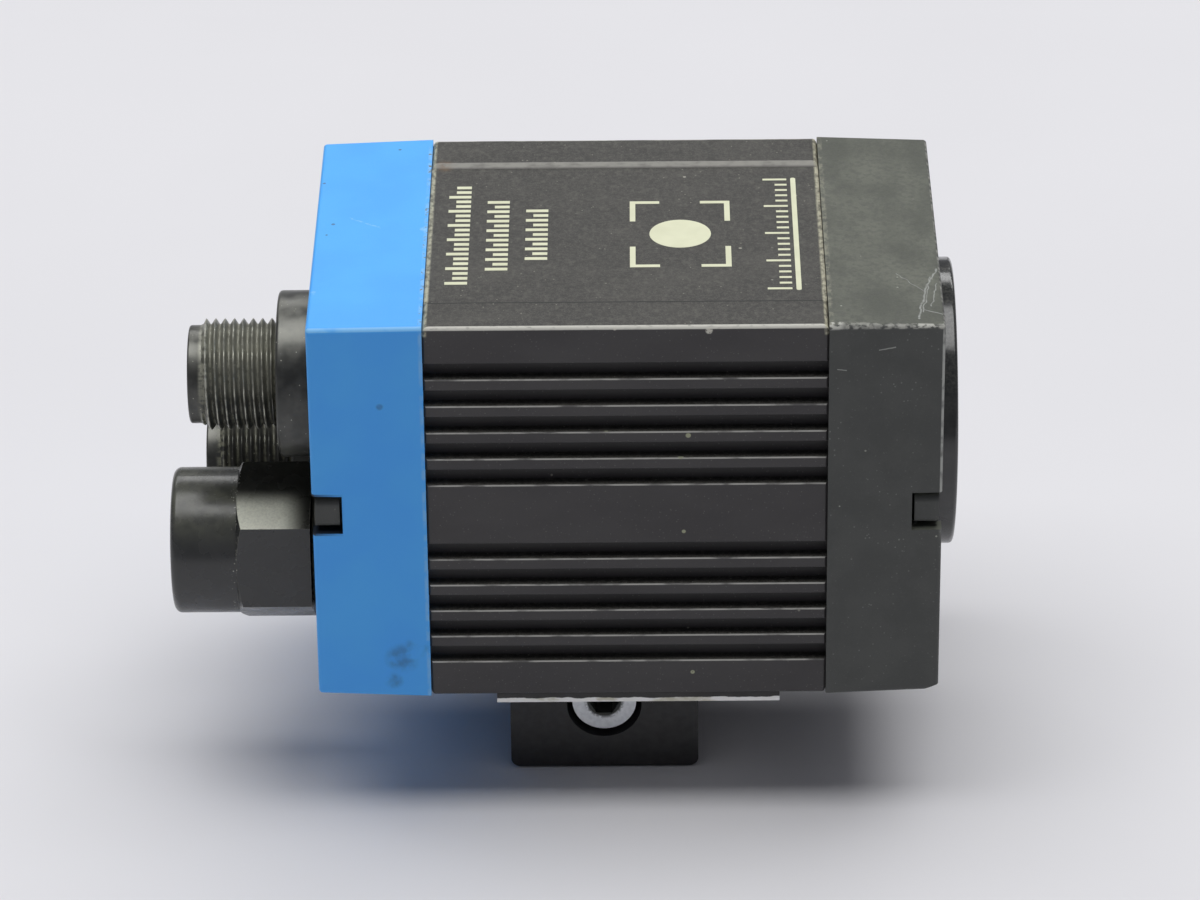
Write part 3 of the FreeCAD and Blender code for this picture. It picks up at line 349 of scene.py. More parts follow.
def housing_wear_and_painted_light(r, outer):
    """Makes the upper edges of the ribs and the upper rims pale, as wear with a painted highlight;
    paints a highlight on the far step of the panel and a shadow line along the near step.
    """
    # Wear and painted highlight: the rounded upper edges of the ribs, where they lean upwards, are
    # made pale.
    breakup = r.spread(r.noise(0.9, 4.0, (0.35, 1, 1)), 0.30, 0.55, 0.15, 1.0)
    worn = r.both(r.leaning(2, 0.25, 0.80), breakup, outer)
    r.coat(worn, (0.46, 0.455, 0.42))
    # Wear and painted highlight along the upper rims: full on the near side, in patches on the far
    # side.
    rim = r.both(
        r.spread(r.off_axis(), side_y - 0.50 * MM, side_y - 0.34 * MM),
        r.spread(r.z, top_z - 0.36 * MM, top_z - 0.22 * MM),
    )
    bright_edge = r.spread(r.noise(0.35, 4.0, (0.5, 1, 1)), 0.22, 0.5, 0.45, 1.0)
    far_patches = r.spread(r.noise(2.5, 3.0, (0.4, 1, 1), (2, 0, 0)), 0.42, 0.56, 0.15, 0.8)
    bright_edge = r.both(bright_edge, r.either(r.near_side(), far_patches))
    r.coat(r.both(rim, bright_edge), (0.60, 0.59, 0.53))
    # Painted highlight: a pale band along the far step of the panel.
    step = r.both(
        r.between(r.y, panel_half - 0.42 * MM, panel_half + 0.06 * MM, 0.16 * MM),
        r.spread(r.noise(0.5, 3.0, (0.4, 1, 1)), 0.2, 0.6, 0.65, 1.0),
    )
    r.coat(step, (0.42, 0.41, 0.37))
    # Painted shadow: a dark line along the near step of the panel.
    step_shadow = r.between(r.y, -panel_half - 0.26 * MM, -panel_half + 0.60 * MM, 0.06 * MM)
    step_shadow = r.both(step_shadow, r.spread(r.z, top_z - 1 * MM, top_z - 0.7 * MM))
    r.coat(r.both(step_shadow, 0.85), (0.012, 0.012, 0.012))


def soil_housing(r, outer, fine):
    """Dust in the joints, a touch of rust, and crumbs and fluff on the near side."""
    nicks = r.both(r.specks(4.1, 0.055), r.spread(r.noise(9.0), 0.5, 0.6))
    r.coat(nicks, (0.34, 0.33, 0.28))
    ends = r.either(r.near(r.x, rear_joint_x, 0.62 * MM), r.near(r.x, front_joint_x, 0.62 * MM))
    upper = r.spread(r.z, top_z - 1.2 * MM, top_z - 0.8 * MM)
    gathered = r.spread(r.noise(0.5, 6.0, (1, 0.6, 1), (4, 0, 0)), 0.32, 0.62, 0.25, 1.0)
    r.coat(r.both(ends, upper, gathered), (0.52, 0.50, 0.37))
    rust = r.spot((rear_joint_x + 1.4 * MM, panel_half - 0.1 * MM, panel_z), 1.3, 0.95)
    r.coat(r.both(rust, r.spread(fine, 0.3, 0.6, 0.1, 0.45)), (0.30, 0.18, 0.09))
    crumbs = r.either(
        r.spot((0.6 * MM, near_y, axis_z + 10.2 * MM), 0.42, 0.4, SIDE),
        r.spot((9.2 * MM, near_y, axis_z + 9.4 * MM), 0.34, 0.4, SIDE),
        r.spot((8.4 * MM, near_y, axis_z + 6.9 * MM), 0.40, 0.4, SIDE),
        r.spot((8.7 * MM, near_y, axis_z - 2.2 * MM), 0.26, 0.4, SIDE),
        r.spot((9.6 * MM, near_y, axis_z - 19.6 * MM), 0.28, 0.4, SIDE),
    )
    crumbs = r.both(crumbs, r.near_side(), outer, r.spread(r.noise(0.25, 3.0), 0.25, 0.4))
    r.coat(crumbs, (0.36, 0.37, 0.25))
    fluff = r.either(
        r.spot((11.4 * MM, near_y, top_z - 0.5 * MM), 0.45, 0.4),
        r.spot((1.6 * MM, near_y, top_z - 0.2 * MM), 0.25),
    )
    r.coat(r.both(fluff, r.spread(r.noise(0.25, 3.0), 0.3, 0.45)), (0.62, 0.60, 0.52))


def anodised_housing():
    """Black anodised extrusion: dusty on top, worn pale along the upper edges of its ribs with a
    painted highlight there, and painted shade in its grooves.
    """
    r = Recipe("black_anodised_housing")
    grain = r.noise(0.16, 3.0)
    fine = r.noise(0.45, 4.0)
    cloud = r.noise(6.0, 4.0, (0.5, 1, 1))
    side = housing_side_paint(r, fine, cloud)
    top = housing_top_paint(r, grain, fine, cloud)
    r.colour = r.mix(r.facing_up(0.75, 0.97), side, top)
    # Painted shade: the groove floors, inside the outer faces and below the top, are made darker
    # and warmer.
    groove_shade = r.both(
        r.spread(r.off_axis(), side_y - 0.5 * MM, side_y - 0.9 * MM),
        r.spread(r.z, top_z - 0.8 * MM, top_z - 1.4 * MM),
    )
    r.coat(r.both(groove_shade, 0.12), (0.026, 0.024, 0.019))
    outer = r.spread(r.off_axis(), side_y - 0.24 * MM, side_y - 0.18 * MM)
    housing_wear_and_painted_light(r, outer)
    soil_housing(r, outer, fine)
    rough = r.spread(grain, 0.2, 0.8, 0.48, 0.62)
    relief = r.both(r.math("ADD", grain, fine), 0.5)
    return r.finish(rough, r.bump(relief, 0.025), Specular_IOR_Level=0.32)


def mark_blue_side(r):
    """Smudges on the near side, and painted shade on the walls of the notches."""
    smudges = r.either(
        r.spot((rear_joint_x - 4.6 * MM, near_y, axis_z + 13.1 * MM), 0.5, keep=SIDE),
        r.spot((rear_joint_x - 3.0 * MM, near_y, axis_z - 17.6 * MM), 2.2, keep=SIDE),
        r.spot((rear_joint_x - 4.0 * MM, near_y, axis_z - 20.3 * MM), 1.3, keep=SIDE),
        r.spot((rear_joint_x - 1.4 * MM, near_y, axis_z - 16.2 * MM), 1.6, keep=SIDE),
    )
    smudges = r.both(smudges, r.near_side(), r.spread(r.noise(1.9, 3.0), 0.34, 0.70))
    r.coat(r.both(smudges, 0.55), (0.032, 0.095, 0.19))
    # Painted shade: the walls of the notches are made near black.
    notch_shade = r.both(
        r.between(r.z, axis_z - 2.5 * MM, axis_z + 2.5 * MM, 0.1 * MM),
        r.spread(r.x, rear_low.x + 3.35 * MM, rear_low.x + 3.2 * MM),
        r.spread(r.off_axis(), side_y, side_y - 0.15 * MM),
    )
    r.coat(notch_shade, (0.010, 0.016, 0.028))


def mark_blue_top(r):
    """Dark and pale marks on the upper side."""
    marks = r.either(
        r.spot((rear_low.x + 0.5 * MM, 12.0 * MM, cover_top_z), 0.25, keep=TOP),
        r.spot((rear_low.x + 1.9 * MM, 2.0 * MM, cover_top_z), 0.3, keep=TOP),
        r.spot((rear_low.x + 1.3 * MM, -0.5 * MM, cover_top_z), 0.2, keep=TOP),
        r.spot((rear_joint_x - 3.6 * MM, 19.8 * MM, cover_top_z), 0.25, keep=TOP),
    )
    r.coat(r.both(marks, 0.75), (0.05, 0.09, 0.16))
    pale = r.either(
        r.line(
            (rear_low.x + 3.6 * MM, 3.4 * MM, cover_top_z),
            (rear_low.x + 7.0 * MM, 0.8 * MM, cover_top_z), 0.16, 0.5,
        ),
        r.spot((rear_joint_x - 0.5 * MM, 0.2 * MM, cover_top_z), 0.6, keep=TOP),
        r.spot((rear_low.x + 0.5 * MM, -13.9 * MM, cover_top_z), 0.5, keep=TOP),
    )
    faint = r.spread(r.noise(0.4, 3.0), 0.4, 0.6, 0.0, 0.4)
    r.coat(r.both(pale, faint), (0.40, 0.68, 0.95))


def blue_plastic():
    """Moulded blue plastic with smudges and small marks, a sharper, paler edge from a painted
    highlight, and painted shade on the walls of its notches.
    """
    r = Recipe("blue_moulded_plastic")
    grain = r.noise(0.12, 2.0)
    cloud = r.noise(7.0, 3.0)
    r.colour = r.clouded(cloud, 0.3, 0.7, (0.068, 0.408, 1.0), (0.076, 0.440, 1.0))
    # Painted highlight along the near upper edges, where the face leans up and towards -Y.
    bright_edge = r.both(
        r.leaning(2, 0.30, 0.92), r.leaning(1, 0.25, 1.0, -1),
        r.spread(r.noise(1.5), 0.25, 0.5, 0.45, 1.0),
    )
    r.coat(r.both(bright_edge, 0.9), (0.25, 0.60, 1.0))
    joint = r.both(r.near(r.x, rear_joint_x, 0.5 * MM), r.spread(r.noise(1.2, 3.0), 0.35, 0.6))
    r.coat(r.both(joint, 0.6), (0.25, 0.55, 0.92))
    grime = r.both(joint, r.facing_up(), r.spread(r.noise(0.5, 4.0), 0.52, 0.62))
    r.coat(grime, (0.16, 0.17, 0.13))
    mark_blue_side(r)
    mark_blue_top(r)
    rough = r.spread(grain, 0.2, 0.8, 0.40, 0.52)
    return r.finish(rough, r.bump(grain, 0.006), Specular_IOR_Level=0.4)


def black_side_paint(r, fine, cloud):
    """Dull black with pale dots."""
    side = r.clouded(cloud, 0.35, 0.65, (0.068, 0.071, 0.067), (0.080, 0.083, 0.078))
    dots = r.both(r.specks(0.7, 0.16, (5.3, 0, 0)), r.spread(cloud, 0.42, 0.62))
    side = r.mix(r.both(dots, 0.8), side, (0.18, 0.19, 0.175))
    fine_dots = r.both(r.specks(0.4, 0.2, (2.9, 0, 0)), r.spread(fine, 0.45, 0.6))
    return r.mix(r.both(fine_dots, 0.45), side, (0.13, 0.135, 0.125))


def black_top_paint(r, fine, cloud):
    """Olive grey dust in clouds."""
    top = r.clouded(cloud, 0.3, 0.7, (0.080, 0.086, 0.069), (0.128, 0.135, 0.108))
    return r.mix(r.both(r.spread(fine, 0.42, 0.66), 0.5), top, (0.070, 0.073, 0.064))


def black_edge_wear_and_highlight(r):
    """Wear and painted highlight along the upper edges and the front rim, and dust in the front
    joint.
    """
    # Wear and painted highlight on the upper edges, where the face leans upwards.
    upper = r.spread(r.z, cover_top_z - 1.6 * MM, cover_top_z - 1.2 * MM)
    worn = r.both(r.leaning(2, 0.2, 0.9), upper, r.spread(r.noise(0.8, 4.0), 0.42, 0.62))
    r.coat(worn, (0.30, 0.30, 0.27))
    # Wear and painted highlight on the front rim, where the face leans towards +X and -Y.
    front_rim = r.both(
        r.leaning(0, 0.25, 0.9), r.leaning(1, 0.2, 1.0, -1),
        r.spread(r.z, axis_z - 4 * MM, axis_z + 1 * MM),
        r.spread(r.noise(1.2, 3.0), 0.3, 0.55, 0.35, 1.0),
    )
    r.coat(front_rim, (0.40, 0.41, 0.38))
    ends = r.both(r.near(r.x, front_joint_x, 0.6 * MM), r.facing_up(0.2, 0.6))
    dust = r.both(ends, r.spread(r.noise(0.5, 6.0, (1, 0.6, 1)), 0.40, 0.64, 0.0, 0.5))
    r.coat(dust, (0.34, 0.33, 0.25))


def scratch_front_cover(r, up):
    """Scratches on the near side and the top, and the frayed edge between them."""
    x = front_joint_x
    y = near_y
    z = axis_z
    on_side = r.spread(r.y, near_y + 0.6 * MM, near_y + 0.4 * MM)
    side_scratches = r.either(
        r.line((x + 5.2 * MM, y, z + 19.4 * MM), (x + 6.9 * MM, y, z + 19.7 * MM), 0.09, 0.4, SIDE),
        r.line((x + 0.9 * MM, y, z + 17.2 * MM), (x + 1.8 * MM, y, z + 17.1 * MM), 0.08, 0.2, SIDE),
    )
    r.coat(r.both(side_scratches, on_side, 0.8), (0.36, 0.37, 0.34))
    top_scratches = r.either(
        r.line((x + 11.7 * MM, y + 12.8 * MM, 0), (x + 10.2 * MM, y + 8.0 * MM, 0), 0.11, 0.9, TOP),
        r.line((x + 10.2 * MM, y + 8.0 * MM, 0), (x + 9.4 * MM, y + 1.4 * MM, 0), 0.15, 0.9, TOP),
        r.line((x + 10.9 * MM, y + 11.0 * MM, 0), (x + 9.9 * MM, y + 3.0 * MM, 0), 0.10, 0.8, TOP),
        r.line((x + 9.9 * MM, y + 3.6 * MM, 0), (x + 11.8 * MM, y + 2.6 * MM, 0), 0.10, 0.5, TOP),
        r.line((x + 11.6 * MM, y + 9.6 * MM, 0), (x + 10.8 * MM, y + 4.4 * MM, 0), 0.08, 0.8, TOP),
        r.line((x + 7.4 * MM, y + 11.6 * MM, 0), (x + 10.1 * MM, y + 7.6 * MM, 0), 0.05, 0.8, TOP),
    )
    traced = r.spread(r.noise(0.5, 3.0), 0.3, 0.6, 0.35, 0.85)
    r.coat(r.both(top_scratches, up, traced), (0.34, 0.35, 0.33))
    rim = r.both(
        r.spread(r.y, near_y + 0.55 * MM, near_y + 0.35 * MM),
        r.spread(r.z, cover_top_z - 0.75 * MM, cover_top_z - 0.45 * MM),
    )
    frayed = r.spread(r.noise(0.35, 4.0, (0.6, 1, 1)), 0.44, 0.54)
    whole = r.either(
        r.spread(r.x, x + 8.0 * MM, x + 9.5 * MM),
        r.spread(r.x, x + 2.0 * MM, x + 0.8 * MM), 0.35,
    )
    r.coat(r.both(rim, frayed, whole), (0.52, 0.52, 0.47))


def black_plastic():
    """Moulded black plastic: spark-eroded, dusty on top, scuffed and scratched, with a painted
    highlight on its edges.
    """
    r = Recipe("black_moulded_plastic")
    grain = r.noise(0.2, 4.0)
    cloud = r.noise(4.5, 5.0, (1, 0.6, 1))
    fine = r.noise(0.6, 4.0)
    up = r.facing_up()
    r.colour = r.mix(up, black_side_paint(r, fine, cloud), black_top_paint(r, fine, cloud))
    fleck = r.both(r.specks(1.7, 0.08, (1.7, 0, 0)), r.spread(r.noise(3.0), 0.5, 0.62))
    r.coat(fleck, (0.33, 0.34, 0.29))
    black_edge_wear_and_highlight(r)
    scratch_front_cover(r, up)
    rough = r.spread(grain, 0.2, 0.8, 0.50, 0.68)
    return r.finish(rough, r.bump(grain, 0.018), Specular_IOR_Level=0.4)


def gloss_black():
    """Glossy black moulding with a few fine scratches and dust on its upper side."""
    r = Recipe("gloss_black_moulding")
    cloud = r.noise(2.5, 4.0)
    r.colour = r.clouded(cloud, 0.4, 0.7, (0.026, 0.027, 0.027), (0.042, 0.043, 0.041))
    scratch = r.spread(r.noise(0.25, 2.0, (0.06, 1, 1)), 0.66, 0.74)
    r.coat(r.both(scratch, 0.5), (0.11, 0.11, 0.10))
    dust = r.both(r.facing_up(0.2, 0.9), r.spread(r.noise(0.35, 5.0), 0.35, 0.75))
    r.coat(r.both(dust, 0.30), (0.20, 0.20, 0.17))
    rough = r.spread(cloud, 0.3, 0.7, 0.14, 0.22)
    return r.finish(rough, Specular_IOR_Level=0.7)


def cap_plastic():
    """Satin black cap: dusty above, speckled at its step, with a painted reflection on one facet:
    dark all over, pale on its lower half.
    """
    r = Recipe("black_cap_plastic")
    cloud = r.noise(2.5, 4.0)
    grain = r.noise(0.25, 3.0)
    r.colour = r.clouded(cloud, 0.3, 0.7, (0.034, 0.035, 0.035), (0.044, 0.045, 0.044))
    upper = r.facing_up(0.30, 0.85)
    dust = r.both(upper, r.spread(r.noise(1.2, 5.0), 0.25, 0.75, 0.35, 1.0))
    r.coat(r.both(dust, 0.7), (0.13, 0.134, 0.100))
    # Painted reflection: one facet of the hexagon, on the near side, is made dark.
    facet = r.both(r.leaning(2, 0.90, 0.94, 1, 0.015), r.leaning(1, 0.2, 1.0, -1))
    on_hexagon = r.spread(r.x, cap_step_x - 0.1 * MM, cap_step_x + 0.3 * MM)
    r.coat(r.both(facet, on_hexagon, 0.8), (0.014, 0.014, 0.012))
    # Painted reflection: the lower half of that facet is made pale, fading towards the end of the
    # cap.
    low_half = r.spread(r.z, cap_axis_z + 7.6 * MM, cap_axis_z + 6.5 * MM)
    fading = r.spread(r.x, cap_high.x - 0.2 * MM, cap_high.x - 3.4 * MM)
    bright = r.both(facet, on_hexagon, low_half, fading, r.spread(grain, 0.1, 0.8, 0.75, 1.0))
    r.coat(bright, (0.86, 0.87, 0.73))
    seam = r.near(r.x, cap_step_x, 0.6 * MM)
    specks = r.both(seam, r.specks(0.32, 0.26), r.spread(r.noise(0.8), 0.42, 0.52))
    r.coat(specks, (0.42, 0.42, 0.36))
    worn = r.both(r.edges(0.15), r.spread(r.noise(0.7, 3.0), 0.40, 0.6))
    r.coat(r.both(worn, 0.7), (0.34, 0.34, 0.29))
    rough = r.spread(cloud, 0.3, 0.7, 0.23, 0.31)
    return r.finish(rough, r.bump(grain, 0.003), Specular_IOR_Level=0.55)


def connector_metal():
    """Black plated connector body: pale thread crests, olive grime in the thread roots, and a
    painted sheen on its upper side.
    """
    r = Recipe("black_plated_connector")
    cloud = r.noise(1.6, 4.0)
    r.colour = r.clouded(cloud, 0.35, 0.7, (0.064, 0.065, 0.061), (0.098, 0.098, 0.090))
    grime = r.both(r.crevices(0.5), r.spread(r.noise(0.5, 3.0), 0.30, 0.55))
    start = r.between(r.x, shell_low.x + 1.3 * MM, shell_low.x + 2.1 * MM, 0.4 * MM)
    start = r.both(start, r.spread(r.noise(0.45, 4.0, (0.4, 1, 1)), 0.38, 0.6))
    coated_patch = r.either(r.both(grime, 0.9), r.both(start, 0.9))
    r.coat(coated_patch, (0.21, 0.21, 0.15))
    radius = r.radius_about(shell_axis)
    within = r.spread(radius, CREST_RADIUS + 0.25 * MM, CREST_RADIUS + 0.15 * MM)
    collar_x = plate_low.x - COLLAR_LENGTH
    crest = r.both(
        r.spread(radius, CREST_RADIUS - 0.14 * MM, CREST_RADIUS - 0.02 * MM),
        within,
        r.spread(r.x, collar_x, collar_x - 0.15 * MM),
        r.spread(r.noise(0.8, 4.0), 0.34, 0.58, 0.25, 1.0),
    )
    r.coat(crest, (0.50, 0.50, 0.42))
    # Painted sheen: the upper side is made paler in clouds.
    painted_sheen = r.both(r.facing_up(0.40, 0.85), r.spread(cloud, 0.25, 0.6, 0.5, 1.0))
    r.coat(r.both(painted_sheen, 0.35), (0.27, 0.27, 0.235))
    upper = r.spread(r.z, shell_axis[1] - 1 * MM, shell_axis[1] + 2 * MM)
    tip_x = shell_low.x + TIP_LENGTH
    thread = r.both(within, r.spread(r.x, tip_x - 0.3 * MM, tip_x))
    r.coat(r.both(upper, thread, 0.4), (0.40, 0.40, 0.335))
    flecks = r.both(r.specks(0.5, 0.15), r.spread(r.noise(1.6), 0.50, 0.60))
    r.coat(flecks, (0.46, 0.46, 0.38))
    worn = r.both(r.edges(0.08), r.spread(r.noise(0.6, 3.0), 0.42, 0.6))
    r.coat(r.both(worn, 0.7), (0.34, 0.34, 0.28))
    metallic = r.spread(r.either(coated_patch, flecks), 0.1, 0.6, 0.65, 0.0)
    rough = r.spread(cloud, 0.3, 0.7, 0.30, 0.42)
    return r.finish(rough, Metallic=metallic)


def zinc_screw():
    """Bright zinc head, with its socket painted dark."""
    r = Recipe("zinc_plated_screw")
    cloud = r.noise(0.6, 4.0)
    grain = r.noise(0.12, 2.0)
    r.colour = r.clouded(cloud, 0.3, 0.7, (0.74, 0.76, 0.78), (0.86, 0.88, 0.90))
    # The socket is painted dark: a disc and a ragged rim round it, on the near side.
    socket_disc = r.spot(screw_middle, 2.05, 0.12, SIDE)
    ragged = r.both(
        r.spot(screw_middle, 2.35, 0.25, SIDE),
        r.spread(r.noise(0.35, 4.0), 0.40, 0.55),
    )
    coated_patch = r.both(r.either(socket_disc, ragged), r.near_side())
    r.coat(coated_patch, (0.030, 0.032, 0.026))
    metallic = r.spread(coated_patch, 0.2, 0.7, 0.45, 0.0)
    rough = r.spread(grain, 0.2, 0.8, 0.30, 0.46)
    return r.finish(rough, r.bump(grain, 0.004), Metallic=metallic)


def plain(name, low, high, roughness, size_mm=0.8, metallic=0.0, relief_mm=0.004):
    """A material that clouds between two colours, with a fine relief."""
    r = Recipe(name)
    cloud = r.noise(size_mm, 4.0)
    grain = r.noise(size_mm / 5, 2.0)
    r.colour = r.clouded(cloud, 0.3, 0.7, low, high)
    rough = r.spread(grain, 0.2, 0.8, roughness * 0.85, roughness * 1.15)
    return r.finish(rough, r.bump(grain, relief_mm), Metallic=metallic)


def dirty_label():
    """Pale label film with brown stains; its upper part is painted dark, standing in for the
    housing's black lower edge and the shade under it.
    """
    r = Recipe("label_film_dirty")
    cloud = r.noise(1.2, 4.0)
    r.colour = r.clouded(cloud, 0.3, 0.7, (0.92, 0.91, 0.87), (0.97, 0.97, 0.95))
    stain = r.both(r.spread(r.noise(1.6, 5.0, (0.4, 1, 1)), 0.50, 0.64), 0.6)
    r.coat(stain, (0.40, 0.37, 0.20))
    # Painted shade: above a ragged line the label is made dark, standing in for the housing's black
    # lower edge and the shade under it.
    ragged = r.math("MULTIPLY", r.noise(0.9, 4.0, (0.5, 1, 1), (3, 0, 0)), 0.5 * MM)
    height = r.math("ADD", r.z, ragged)
    dark_upper_band = r.spread(height, label_high.z - 0.40 * MM, label_high.z - 0.30 * MM)
    r.coat(dark_upper_band, (0.035, 0.034, 0.032))
    rough = r.spread(cloud, 0.2, 0.8, 0.5, 0.7)
    return r.finish(rough, r.bump(r.noise(0.3, 3.0), 0.02))


def glass():
    """Clear window glass with a trace of haze."""
    r = Recipe("window_glass_clear")
    haze = r.spread(r.noise(5.0, 4.0), 0.3, 0.8, 0.0, 0.02)
    r.colour = (0.90, 0.96, 0.97)
    return r.finish(haze, Transmission_Weight=1.0, IOR=1.5)


MATERIALS = {
    "black_anodised_aluminium": anodised_housing(),
    "blue_plastic": blue_plastic(),
    "black_plastic": black_plastic(),
    "seal_rubber": plain("seal_rubber_black", (0.012, 0.012, 0.012), (0.02, 0.02, 0.02), 0.7),
    "zinc_steel": zinc_screw(),
    "clear_plastic": plain("light_pipe_plastic", (0.62, 0.66, 0.66), (0.72, 0.76, 0.76), 0.2),
    "black_plated_brass": connector_metal(),
    "insert_plastic": plain("insert_plastic_black", (0.02, 0.02, 0.02), (0.03, 0.03, 0.03), 0.5),
    "gold_contact": plain("gold_plate", (0.78, 0.52, 0.20), (0.86, 0.62, 0.28), 0.25, 0.5, 1.0),
    "gloss_black_plastic": gloss_black(),
    "circuit_board": plain("solder_mask_green", (0.01, 0.075, 0.03), (0.015, 0.11, 0.045), 0.35),
    "chip_ceramic": plain("chip_dark", (0.03, 0.03, 0.033), (0.045, 0.045, 0.05), 0.5),
    "window_glass": glass(),
    "spacer_brass": plain("turned_brass", (0.62, 0.45, 0.18), (0.72, 0.54, 0.24), 0.3, 0.6, 1.0),
    "flex_film": plain("flex_amber", (0.35, 0.15, 0.02), (0.42, 0.20, 0.04), 0.3),
    "inner_aluminium": plain("inner_black_aluminium", (0.02, 0.02, 0.02), (0.03, 0.03, 0.03), 0.45),
    "guide_steel": plain("ground_steel", (0.55, 0.55, 0.56), (0.65, 0.65, 0.66), 0.22, 0.6, 1.0),
    "led_resin": plain("led_clear_resin", (0.80, 0.76, 0.60), (0.90, 0.88, 0.76), 0.15),
    "black_anodised_clamp": plain(
        "clamp_anodised", (0.017, 0.016, 0.016), (0.025, 0.024, 0.024), 0.42
    ),
    "label_film": dirty_label(),
}
CAP_MATERIAL = cap_plastic()
INK = plain("pale_print_ink", (0.68, 0.69, 0.49), (0.74, 0.75, 0.54), 0.6, 2.5, 0.0, 0.001)


def dress_nodes():
    """Gives every CAD node the material of its slot."""
    for subpart in frame["record"]["subparts"]:
        node = nodes[subpart["node"]]
        material = MATERIALS[subpart["material_slot"]]
        if subpart["node"] == "screw_cap":
            material = CAP_MATERIAL
        node.data.materials.clear()
        node.data.materials.append(material)


# ---- Mesh helpers ----
def mesh_piece(name, form, material, body):
    """An object from a finished bmesh, riding on a body."""
    bmesh.ops.recalc_face_normals(form, faces=form.faces)
    mesh = bpy.data.meshes.new(name)
    form.to_mesh(mesh)
    form.free()
    mesh.materials.append(material)
    piece = bpy.data.objects.new(name, mesh)
    bpy.context.scene.collection.objects.link(piece)
    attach(piece, body)
    return piece


def lathe(form, rings, centre, segments):
    """Rings of (x, radius at an angle) about a line along X, joined in a closed band."""
    y, z = centre
    rows = []
    for x, radius in rings:
        row = []
        for i in range(segments):
            angle = 2 * math.pi * i / segments
            across = y + radius(angle) * math.sin(angle)
            upwards = z + radius(angle) * math.cos(angle)
            row.append(form.verts.new((x, across, upwards)))
        rows.append(row)
    for j, row in enumerate(rows):
        onward = rows[(j + 1) % len(rows)]
        for i in range(segments):
            k = (i + 1) % segments
            form.faces.new((row[i], row[k], onward[k], onward[i]))


def shade(piece, angle=35.0):
    """Smooth faces, with edges sharper than the angle kept."""
    for polygon in piece.data.polygons:
        polygon.use_smooth = True
    piece.data.set_sharp_from_angle(angle=math.radians(angle))


# ---- Threaded connector shells ----
def round_ring(x, radius):
    """A ring for lathe() that has the same radius all round."""
    return x, lambda angle: radius


def rounded_edge(x, radius, rounding):
    """Rings round an outer edge: from the face at x out to the side at full radius."""
    rings = []
    for i in range(EDGE_STEPS + 1):
        angle = math.pi / 2 * (1 - i / EDGE_STEPS)
        ring_x = x + rounding * (1 - math.sin(angle))
        rings.append(round_ring(ring_x, radius - rounding * (1 - math.cos(angle))))
    return rings


def thread_height(x, angle, start, end):
    """How far the thread stands out of its root, from 0 to 1, fading out at both ends."""
    turns = (x - start) / THREAD_PITCH + angle / (2 * math.pi)
    ridge = 1 - abs(2 * (turns % 1.0) - 1)
    flank = min(max((ridge - THREAD_ROOT) / (1 - THREAD_ROOT - THREAD_CREST), 0.0), 1.0)
    fade = min((x - start) / THREAD_RUN_IN, (end - x) / THREAD_RUN_OUT, 1.0)
    return flank * max(fade, 0.0)


def threaded_shell(name, collar_length):
    """A connector body with a real helical thread, in place of the CAD one."""
    low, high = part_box(name)
    centre = ((low.y + high.y) / 2, (low.z + high.z) / 2)
    collar_radius = (high.z - low.z) / 2
    tip_x = low.x + TIP_LENGTH
    collar_x = plate_low.x - collar_length
    root = CREST_RADIUS - THREAD_DEPTH
    thread_end = collar_x - THREAD_ROOM

    def thread_ring(x):
        return x, lambda angle: root + THREAD_DEPTH * thread_height(x, angle, tip_x, thread_end)

    steps = int((thread_end - tip_x) / THREAD_PITCH * THREAD_STEPS)
    rings = [
        round_ring(low.x + BORE_EDGE, BORE_RADIUS),
        round_ring(low.x, BORE_RADIUS + BORE_EDGE),
        *rounded_edge(low.x, TIP_RADIUS, TIP_EDGE),
        round_ring(tip_x - TIP_BACK_EDGE, TIP_RADIUS),
        round_ring(tip_x, root),
        *[thread_ring(tip_x + (thread_end - tip_x) * (i + 1) / steps) for i in range(steps)],
        round_ring(collar_x - COLLAR_FOOT, root),
        round_ring(collar_x, root + COLLAR_FOOT),
        *rounded_edge(collar_x, collar_radius, COLLAR_EDGE),
        round_ring(plate_low.x - PLATE_EDGE, collar_radius),
        round_ring(plate_low.x, collar_radius - PLATE_EDGE),
        round_ring(plate_low.x, STEM_RADIUS),
        round_ring(high.x, STEM_RADIUS),
        round_ring(high.x, BORE_RADIUS),
    ]
    form = bmesh.new()
    lathe(form, rings, centre, TURNED_SEGMENTS)
    slot = "black_plated_brass"
    shell = mesh_piece(name + "_threaded", form, MATERIALS[slot], "camera")
    shade(shell)
    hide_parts(name)


# ---- Printed marks ----
def printed_outline(form, points):
    """A thin plate of ink from an outline of (x, y), standing just proud of the panel."""
    low = panel_z - PRINT_SUNK
    high = panel_z + PRINT_LIFT
    bottom = [form.verts.new((x * MM, y * MM, low)) for x, y in points]
    top = [form.verts.new((x * MM, y * MM, high)) for x, y in points]
    form.faces.new(bottom[::-1])
    form.faces.new(top)
    for i in range(len(points)):
        k = (i + 1) % len(points)
        form.faces.new((bottom[i], bottom[k], top[k], top[i]))


def bar_outline(x, y0, y1, width):
    """A bar along Y with round ends."""
    radius = width / 2
    points = []
    for i in range(9):
        angle = math.pi * i / 8
        points.append((x + radius * math.cos(angle), y1 - radius + radius * math.sin(angle)))
    for i in range(9):
        angle = math.pi * (1 + i / 8)
        points.append((x + radius * math.cos(angle), y0 + radius + radius * math.sin(angle)))
    return points


def bracket_outline(x, y, sign_x, sign_y, reach_x, reach_y, width):
    """A corner bracket whose outer corner is at (x, y) and which opens inwards."""
    points = [
        (0, 0), (reach_x, 0), (reach_x, width), (width, width), (width, reach_y), (0, reach_y),
    ]
    return [(x - sign_x * a, y - sign_y * b) for a, b in points]


